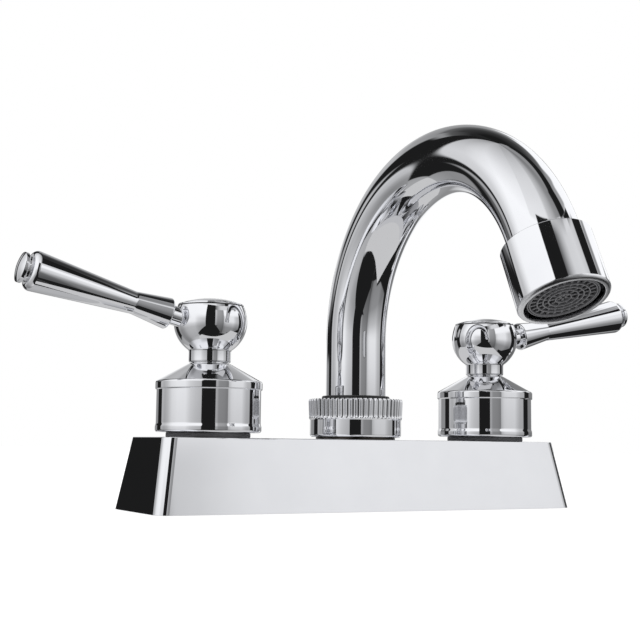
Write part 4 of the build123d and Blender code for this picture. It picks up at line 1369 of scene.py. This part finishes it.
@dataclass
class Aerator:
    """The housing on the spout's end and the insert that shows in it."""

    axis: TurningAxis
    start: float = 1.95
    end: float = 18.85
    radius: float = 11.9
    mouth: float = 9.85
    mouth_web: float = 0.9
    counterbore: float = 11.35
    shoulder_end: float = 3.7
    bore: float = 10.3
    thread: float = 10.95
    top_round: float = 0.2
    rim_round: float = 0.9
    bore_round: float = 0.15
    # Sizes of the black ring put in the gap at the mouth as painted shade.
    shade_ring_bore: float = 9.54
    shade_ring_sink: float = 0.35
    shade_ring_gap: float = 0.05
    shade_ring_squeeze: float = 0.01
    flange_gap: float = 0.02
    flange_end: float = 12.4
    flange_radius: float = 10.9
    insert_start: float = 11.0
    insert_radius: float = 9.3
    insert_wall: float = 0.35
    insert_round: float = 0.15
    recess: float = 0.9
    rib_height: float = 1.3
    rib_width: float = 0.34
    rib_draft: float = 0.05
    rib_bevel: float = 0.06
    core_radius: float = 0.3
    rib_radii: tuple[float, ...] = (2.0, 3.8, 5.2, 6.7, 8.6)
    cell_counts: tuple[int, ...] = (6, 10, 14, 20, 26)
    cell_bar: float = 0.6
    bar_sink: float = 0.35
    bar_bite: float = 0.03
    turn_step: float = math.radians(8)

    @property
    def face(self) -> float:
        """Distance of the insert's flat face along the outlet."""
        return self.end - self.recess - self.rib_height

    def housing_outline(self) -> Outline:
        """Section of the threaded sleeve, with a web that closes on the tube.

        Returns:
            The section.
        """
        line = Outline(turn_step=self.turn_step).to(self.mouth, self.start)
        line.round(self.radius, self.start, self.top_round, (self.radius, self.end))
        line.round(self.radius, self.end, self.rim_round, (self.bore, self.end))
        line.round(self.bore, self.end, self.bore_round, (self.bore, self.flange_end))
        line.to(self.bore, self.flange_end).to(self.thread, self.flange_end)
        line.to(self.thread, self.shoulder_end).to(self.counterbore, self.shoulder_end)
        line.to(self.counterbore, self.start + self.mouth_web)
        return line.to(self.mouth, self.start + self.mouth_web)

    def dark_ring_outline(self) -> Outline:
        """Section of the black ring sunk in the sleeve's mouth: painted shade for the gap where the tube
        enters.

        Returns:
            The section.
        """
        low, high = self.start + self.shade_ring_sink, self.start + self.mouth_web - self.shade_ring_gap
        inner, outer = self.shade_ring_bore, self.mouth - self.shade_ring_squeeze
        return Outline().to(inner, low).to(outer, low).to(outer, high).to(inner, high)

    def insert_outline(self) -> Outline:
        """Section of the insert: flange, wall, and a face with raised rings.

        Returns:
            The section.
        """
        crest = self.face + self.rib_height
        flange_top = self.flange_end - self.flange_gap
        wall_inner = self.insert_radius - self.insert_wall
        draft, bevel = self.rib_draft, self.rib_bevel
        line = Outline().to(0, self.insert_start).to(self.flange_radius, self.insert_start)
        line.to(self.flange_radius, flange_top).to(self.insert_radius, flange_top)
        line.round(self.insert_radius, crest, self.insert_round, (0, crest))
        line.to(wall_inner, crest).to(wall_inner - draft, self.face)
        for radius in reversed(self.rib_radii):
            outer, inner = radius + self.rib_width / 2, radius - self.rib_width / 2
            line.to(outer + draft, self.face).to(outer, crest - draft).to(outer - bevel, crest)
            line.to(inner + bevel, crest).to(inner, crest - draft).to(inner - draft, self.face)
        return line.to(0, self.face)

    def bars(self, shop: Workshop) -> bpy.types.Object:
        """The short bars that part the slots between the ribs, sunk below the ribs' crests.

        Args:
            shop: Makes the object from the mesh.

        Returns:
            The bars as one object.
        """
        mesh = bmesh.new()
        low = self.face - self.flange_gap
        high = self.face + self.rib_height - self.bar_sink
        outward, side = self.axis.outward, self.axis.along.cross(self.axis.outward)
        inner_radii = (self.core_radius, *self.rib_radii)
        reach = self.rib_width / 2 - self.bar_bite
        for inner, outer, count in zip(inner_radii, self.rib_radii, self.cell_counts):
            start, end = inner + reach, outer - reach
            size = Vector((end - start, self.cell_bar, high - low)) * MM
            for index in range(count):
                turn = math.tau * index / count
                spoke = outward * math.cos(turn) + side * math.sin(turn)
                across = self.axis.along.cross(spoke)
                middle = self.axis.origin + spoke * (start + end) / 2 + self.axis.along * (low + high) / 2
                frame = Matrix((spoke, across, self.axis.along)).transposed().to_4x4()
                place = Matrix.Translation(middle * MM) @ frame @ Matrix.Diagonal((*size, 1.0))
                bmesh.ops.create_cube(mesh, size=1.0, matrix=place)
        return shop.finished("aerator_bars", mesh)

    def build(self, shop: Workshop) -> None:
        """The housing and its insert.

        Args:
            shop: Makes the objects from the meshes.
        """
        housing = shop.turned("aerator_sleeve", self.housing_outline(), self.axis)
        rim_start = self.axis.origin.dot(self.axis.along) + self.end - self.rim_round
        finish = RimmedChrome(along=tuple(self.axis.along), rim_start=rim_start * MM)
        shop.dress(housing, finish, "spout", ["aerator_housing"])
        # The black ring stands in the gap as painted shade, so the joint shows a dark line.
        seal = shop.turned("sleeve_ring", self.dark_ring_outline(), self.axis)
        shop.dress(seal, RING_RUBBER, "spout")
        insert = shop.turned("aerator_jets", self.insert_outline(), self.axis, closed=False)
        # The insert and its bars take painted shade, black in the depths between the ribs.
        base = self.axis.origin.dot(self.axis.along) + self.face
        crest = base + self.rib_height
        plastic = JetPlastic(along=tuple(self.axis.along), painted_shade_start=base * MM, crest=crest * MM)
        shop.dress(insert, plastic, "spout", ["aerator_insert"])
        shop.dress(self.bars(shop), plastic, "spout")


def dress_inner_nodes(nodes: dict[str, bpy.types.Object]) -> None:
    """Gives every carried-over node the procedural finish of its kind.

    Args:
        nodes: The frame's objects by node name.
    """
    finishes = {
        "waterway_body": BRASS,
        "spout_post": BRASS_PAINTED_SHADE,
        # The post shows only in the nut's shadow, so its brass is painted dark as shade.
        "spout_foot": BRASS,
        "cartridge_body": BRASS,
        "valve_stem": BRASS,
        "fixed_disc": CERAMIC,
        "turning_disc": CERAMIC,
        "cartridge_seal": RING_RUBBER,
        "seat_seal": RING_RUBBER,
        "stem_orings": RING_RUBBER,
        "spout_orings": RING_RUBBER,
        "aerator_seal": RING_RUBBER,
        "plate_screws": STEEL,
        "aerator_screen": STEEL,
        "stem_clip": STEEL,
        "handle_screw": STEEL,
        "base_plate": BASE_PLASTIC,
        "slip_ring": NYLON,
    }
    for name, node in nodes.items():
        kind = name.removesuffix("_left").removesuffix("_right")
        finish = finishes.get(kind)
        if finish is None:
            continue
        for slot in node.material_slots:
            slot.material = finish.material()
        LOG.info("%s: carried over as %s", name, finish.name)


@dataclass(frozen=True)
class Card:
    """A panel of the tent, bounded by turn (from -Y towards +X) and height, in degrees.

    Its sides may lean: lean adds that many degrees of turn for each degree of height over zero.
    Stops give its brightness by height, and shading scales it by turn.
    """

    name: str
    turn: Point
    height: Point
    stops: tuple[Point, ...]
    soft_turn: float = 2.0
    soft_height: float = 2.0
    lean: float = 0.0
    shading: tuple[Point, ...] = ()

    def over(self, graph: Graph, light: Signal, turn: Signal, height: Signal) -> Signal:
        """The light with this card hung in front of it.

        Args:
            graph: The tent's graph.
            light: Brightness of what is behind the card.
            turn: Direction round the tent, in degrees.
            height: Height over the horizon, in degrees.

        Returns:
            The new brightness.
        """
        across = turn - self.lean * height if self.lean else turn
        mask = graph.band(across, *self.turn, self.soft_turn)
        mask = mask * graph.band(height, *self.height, self.soft_height)
        level = graph.profile(height, self.stops, 90) if len(self.stops) > 1 else self.stops[0][1]
        if self.shading:
            level = level * graph.profile(turn, self.shading, 180)
        return graph.mix(mask, light, level)


@dataclass
class Studio:
    """White room for the camera, and a tent of white and black panels for the metal."""

    tent_radius: float = 0.385
    camera_place: tuple[float, float, float] = (-0.19167, -0.3275, 0.02028)
    camera_yaw: float = math.radians(28.575)
    camera_pitch: float = math.radians(5.943)
    camera_roll: float = math.radians(0.675)
    lens: float = 66.68
    sensor: float = 36.0
    clip: Point = (0.01, 20.0)
    table_level: float = 0.62
    room_light: float = 0.82
    floor_radius: float = 3.0
    floor_segments: int = 96
    floor_paint: Colour = (0.9, 0.9, 0.9)
    floor_drop: float = 0.0002
    table_drop: float = 0.0001
    floor_glow: float = 0.55
    bare_tent: float = 0.3
    tent_segments: int = 64
    tent_rings: int = 48
    tent_tint: Colour = (0.985, 0.99, 1.0)
    table_tint: Colour = (1.0, 1.0, 1.0)
    table_corners: tuple[Point, ...] = (
        (-100, -34),
        (-50, -47),
        (-15, -61),
        (45, -89),
        (100, -20),
        (110, 140),
        (-74, 140),
        (-74, 0),
        (-100, -20),
    )

    @staticmethod
    def linked(data: bpy.types.ID) -> bpy.types.Object:
        """A new object in the scene for a mesh or a camera, with its name.

        Args:
            data: The mesh or camera.

        Returns:
            The object.
        """
        made = bpy.data.objects.new(data.name, data)
        bpy.context.scene.collection.objects.link(made)
        return made

    def panel(self, name: str, mesh: bmesh.types.BMesh) -> tuple[bpy.types.Object, Graph]:
        """An object of the room, with the graph of its own new material.

        Args:
            name: The object's name.
            mesh: Its mesh, used up here.

        Returns:
            The object and the empty graph.
        """
        data = bpy.data.meshes.new(name)
        mesh.to_mesh(data)
        mesh.free()
        material = bpy.data.materials.new(f"{name}_paint")
        material.use_nodes = True
        data.materials.append(material)
        return self.linked(data), Graph(material.node_tree)

    @staticmethod
    def shine(graph: Graph, colour: Colour, strength: Signal | Number) -> None:
        """Ends a material's tree in plain light.

        Args:
            graph: The material's graph.
            colour: The light's colour.
            strength: Its brightness.
        """
        glow = graph.node("ShaderNodeEmission", inputs={"Color": (*colour, 1), "Strength": strength})
        graph.node("ShaderNodeOutputMaterial", inputs={"Surface": glow.outputs[0]})

    def camera(self) -> bpy.types.Object:
        """The camera at the photograph's place and angle.

        Returns:
            The camera's object.
        """
        data = bpy.data.cameras.new("camera")
        data.lens, data.sensor_width = self.lens, self.sensor
        data.clip_start, data.clip_end = self.clip
        made = self.linked(data)
        yaw, pitch = self.camera_yaw, self.camera_pitch
        ahead = Vector((math.sin(yaw) * math.cos(pitch), math.cos(yaw) * math.cos(pitch), math.sin(pitch)))
        right = Vector((math.cos(yaw), -math.sin(yaw), 0))
        up = right.cross(ahead)
        c, s = math.cos(self.camera_roll), math.sin(self.camera_roll)
        x_axis, y_axis = right * c + up * s, up * c - right * s
        turned = Matrix((x_axis, y_axis, -ahead)).transposed()
        made.matrix_world = Matrix.Translation(self.camera_place) @ turned.to_4x4()
        bpy.context.scene.camera = made
        return made

    def world(self) -> None:
        """Even white light, seen as plain white behind the tap."""
        world = bpy.data.worlds.new("white_room")
        bpy.context.scene.world = world
        world.use_nodes = True
        graph = Graph(world.node_tree)
        seen = Signal(graph, graph.node("ShaderNodeLightPath").outputs["Is Camera Ray"])
        inputs = {"Color": (1, 1, 1, 1), "Strength": graph.mix(seen, self.room_light, 1.0)}
        background = graph.node("ShaderNodeBackground", inputs=inputs)
        graph.node("ShaderNodeOutputWorld", inputs={"Surface": background.outputs[0]})

    def floor(self) -> bpy.types.Object:
        """A white floor that keeps a faint shadow and melts into the background.

        Returns:
            The floor's object.
        """
        mesh = bmesh.new()
        place = Matrix.Translation((0, 0, -self.floor_drop))
        bmesh.ops.create_circle(
            mesh,
            cap_ends=True,
            segments=self.floor_segments,
            radius=self.floor_radius,
            matrix=place,
        )
        floor, graph = self.panel("floor", mesh)
        paint = graph.node("ShaderNodeBsdfDiffuse", inputs={"Color": (*self.floor_paint, 1)}).outputs[0]
        inputs = {"Color": (1, 1, 1, 1), "Strength": self.floor_glow}
        glow = graph.node("ShaderNodeEmission", inputs=inputs).outputs[0]
        seen = graph.node("ShaderNodeLightPath").outputs["Is Camera Ray"]
        both = graph.node("ShaderNodeAddShader", inputs={0: paint, 1: glow}).outputs[0]
        choice = graph.node("ShaderNodeMixShader", inputs={0: seen, 1: paint, 2: both}).outputs[0]
        graph.node("ShaderNodeOutputMaterial", inputs={"Surface": choice})
        floor.visible_glossy = False
        return floor

    def tent(self) -> bpy.types.Object:
        """A sphere round the tap, seen by reflections only, with bright and dark panels.

        Returns:
            The tent's object.
        """
        mesh = bmesh.new()
        bmesh.ops.create_uvsphere(
            mesh,
            u_segments=self.tent_segments,
            v_segments=self.tent_rings,
            radius=self.tent_radius,
        )
        tent, graph = self.panel("tent", mesh)
        tent.data.shade_smooth()
        self.shine(graph, self.tent_tint, self.panel_light(graph))
        self.for_reflections(tent)
        return tent

    def cards(self) -> tuple[Card, ...]:
        """The tent's cards, each in front of those before it.

        Returns:
            The cards, from the one behind to the one in front.
        """
        black = ((0.0, 0.013),)
        left_shade = (
            (-138, 0.62),
            (-127, 0.5),
            (-117, 0.62),
            (-106, 0.9),
            (-93, 1.0),
            (-76, 1.0),
            (-66, 0.78),
            (-57, 0.68),
            (-46, 0.6),
        )
        left_end_shade = ((-138, 0.66), (-128, 0.7), (-118, 0.86), (-106, 1.0))
        right_stops = ((-26, 0.26), (-10, 0.3), (2, 0.56), (9, 0.82), (12, 0.87), (22, 0.9), (27, 1.04))
        right_shade = (
            (10, 0.7),
            (14, 0.78),
            (19, 0.95),
            (27, 1.0),
            (47, 1.0),
            (54, 0.8),
            (62, 0.64),
            (74, 0.6),
        )
        dim_shade = ((-18, 0.72), (-6, 0.58), (2, 0.47), (10, 0.32), (24, 0.25))
        grey_shade = ((-17, 1.75), (-13, 1.5), (-10, 1.05), (3, 0.95), (8, 0.84), (13, 0.9))
        sleeve_shade = ((-17, 0.1), (-12, 0.26), (-5, 0.52), (2, 0.72), (20, 0.76), (36, 0.6))
        return (
            Card(
                "back wall",
                (-181, 181),
                (-91, 62),
                ((-60, 0.5), (-20, 0.4), (0, 0.28), (16, 0.3), (34, 0.5), (60, 0.3)),
            ),
            Card("back light", (107, 123), (-1, 22), ((0, 0.75), (5, 1.0)), 6, 5, 1.25),
            Card("back light, upper part", (138, 152), (21, 33), ((21, 1.1),), 3, 4),
            Card(
                "rear glow",
                (150, 181),
                (0, 46),
                ((0, 0.5), (10, 0.76), (15, 1.0), (20, 0.85), (25, 0.7), (30, 0.54), (45, 0.55)),
                8,
                6,
            ),
            Card(
                "rear glow, left of it",
                (-181, -167),
                (17, 46),
                ((20, 0.62), (28, 0.45), (42, 0.52)),
                3,
                4,
            ),
            Card("dark spot in the rear glow", (149, 166), (12.5, 21), black, 3, 2),
            Card("right far wall", (88, 124), (-16, 20), ((-20, 0.1), (0, 0.17), (16, 0.3)), 4, 4),
            Card("right far wall, upper part", (117, 131), (17, 40), ((20, 0.26),), 4, 4),
            Card(
                "left wall",
                (-138, -44),
                (-91, 91),
                ((-10, 0.9), (14, 1.02), (44, 1.08), (58, 0.92), (74, 0.66), (86, 0.48)),
                shading=left_end_shade,
            ),
            Card(
                "left wall, lower part",
                (-139, -44),
                (-91, 20),
                ((-60, 0.7), (-34, 0.44), (-6, 0.52), (2, 0.7), (9, 0.94), (20, 1.0)),
                soft_height=14,
                shading=left_shade,
            ),
            Card(
                "light ceiling",
                (-60, 22),
                (45, 91),
                ((45, 0.92), (58, 0.8), (66, 0.74), (74, 0.62), (86, 0.42)),
            ),
            Card(
                "light ceiling, dim side",
                (-14, 24),
                (40, 91),
                ((45, 1.0), (62, 0.92), (80, 0.75)),
                8,
                shading=dim_shade,
            ),
            Card("right wall", (10, 78), (-40, 47), right_stops, 3),
            Card("right wall, lower part", (10, 78), (-91, 23), right_stops, 3, 6, shading=right_shade),
            Card("window", (61, 126), (30, 54), ((30, 1.08),), 9, 3),
            Card("window, top", (72, 112), (50, 60), ((50, 1.08),), 10, 3),
            Card("window, foot", (93, 117), (21, 34), ((30, 1.08),), 4, 4),
            Card("dark below the window's end", (117, 135), (24, 38), ((30, 0.22),), 4, 4),
            Card(
                "front grey",
                (-17, 11),
                (-40, 38),
                ((-26, 0.11), (-6, 0.18), (8, 0.27), (30, 0.38)),
                2,
                shading=grey_shade,
            ),
            Card("grey by the sleeve", (-17, 36), (37, 47), ((40, 1.0),), shading=sleeve_shade),
            Card("dark ceiling", (-79, 181), (61, 91), ((64, 0.12), (70, 0.045), (80, 0.012)), 3, 5, 1.75),
            Card("dark ceiling, rear left", (-181, -148), (64, 91), ((66, 0.1), (76, 0.02)), 4, 5),
            Card("grey beside the rail", (56, 67), (34, 42), ((38, 0.3),), 6, 3),
            Card("ceiling rail, low part", (33, 56), (37, 46.8), black, 2, 1),
            Card("ceiling rail", (22, 45), (46.5, 58), black, 3, 1.5),
            Card("ceiling rail, leaning part", (-51, -26), (56, 82), black, 4, 3, 1.3),
            Card("rear black", (-157, -138.5), (-13, 91), black, 2, 2),
            Card("rear black, wide part", (-169, -154), (23, 58), black, 6, 6),
            Card("rear black, line", (-179, -154), (10.5, 16), black, 4, 2),
            Card("rear grey", (-167, -155), (15, 23), ((20, 0.12),), 3, 3),
            Card("rear light", (-155, -144.5), (17, 31), ((20, 0.42), (25, 0.52)), 3, 4),
            Card("right black", (74, 93), (-30, 29), black, 3, 4),
            Card("light beside the right black", (88.5, 95), (-14, -1), ((0, 0.95),), 2, 3),
            Card("right black, foot", (86, 108), (-31, -8), black, 3, 3, 1.5),
            Card("dark under the right lever", (57, 106), (-31, -20), black, 6, 3),
            Card("under gap, left", (-72, 3), (-91, -27), black, 4, 1.5),
            Card("under gap, middle", (2, 31), (-91, -34), black, 4, 1.5),
            Card("under gap, right", (30, 100), (-91, -27), black, 4, 1.5),
            Card("stripe foot, left flare", (-35, 0), (-30, -6), black, 1.5, 1, 1.35),
            Card("stripe foot, right flare", (-45, -19), (-30, -4), black, 1.5, 1, -0.77),
            Card("camera stripe", (-44.5, -16.5), (-91, 47.5), black, 1.2, 0.8),
        )

    def panel_light(self, graph: Graph) -> Signal:
        """Brightness of the tent by turn and height.

        Args:
            graph: The tent's graph.

        Returns:
            The brightness.
        """
        x, y, z = graph.xyz()
        turn = graph.math("ARCTAN2", x, y * -1) * math.degrees(1)
        height = graph.math("ARCSINE", z / self.tent_radius) * math.degrees(1)
        light: Signal | Number = self.bare_tent
        for card in self.cards():
            light = card.over(graph, light, turn, height)
        return light

    def table(self) -> bpy.types.Object:
        """The small pale table under the tap, seen by reflections only.

        Returns:
            The table's object.
        """
        mesh = bmesh.new()
        mesh.faces.new([mesh.verts.new((x * MM, y * MM, -self.table_drop)) for x, y in self.table_corners])
        table, graph = self.panel("table", mesh)
        self.shine(graph, self.table_tint, self.table_level)
        self.for_reflections(table)
        return table

    @staticmethod
    def for_reflections(card: bpy.types.Object) -> None:
        """Lets only mirror reflections see a card.

        Args:
            card: The object to hide from all but mirrors.
        """
        card.visible_camera = False
        card.visible_diffuse = False
        card.visible_shadow = False
        card.visible_transmission = False

    def build(self) -> None:
        """Camera, light, floor and panels."""
        self.camera()
        self.world()
        self.floor()
        self.table()
        self.tent()
        bpy.context.scene.view_settings.view_transform = "Standard"


def main() -> None:
    """Builds every sub-assembly round the frame."""
    logging.basicConfig(level=logging.INFO, format="%(name)s: %(message)s")
    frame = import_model()
    shop = Workshop()
    dress_inner_nodes(frame["nodes"])
    DeckBase().build(shop)
    for side in Side:
        Bell(side).build(shop)
        Handle(side).build(shop)
    CouplingNut().build(shop)
    neck = Gooseneck()
    neck.build(shop)
    Aerator(neck.outlet_axis).build(shop)
    Studio().build()


if __name__ == "__main__":
    main()
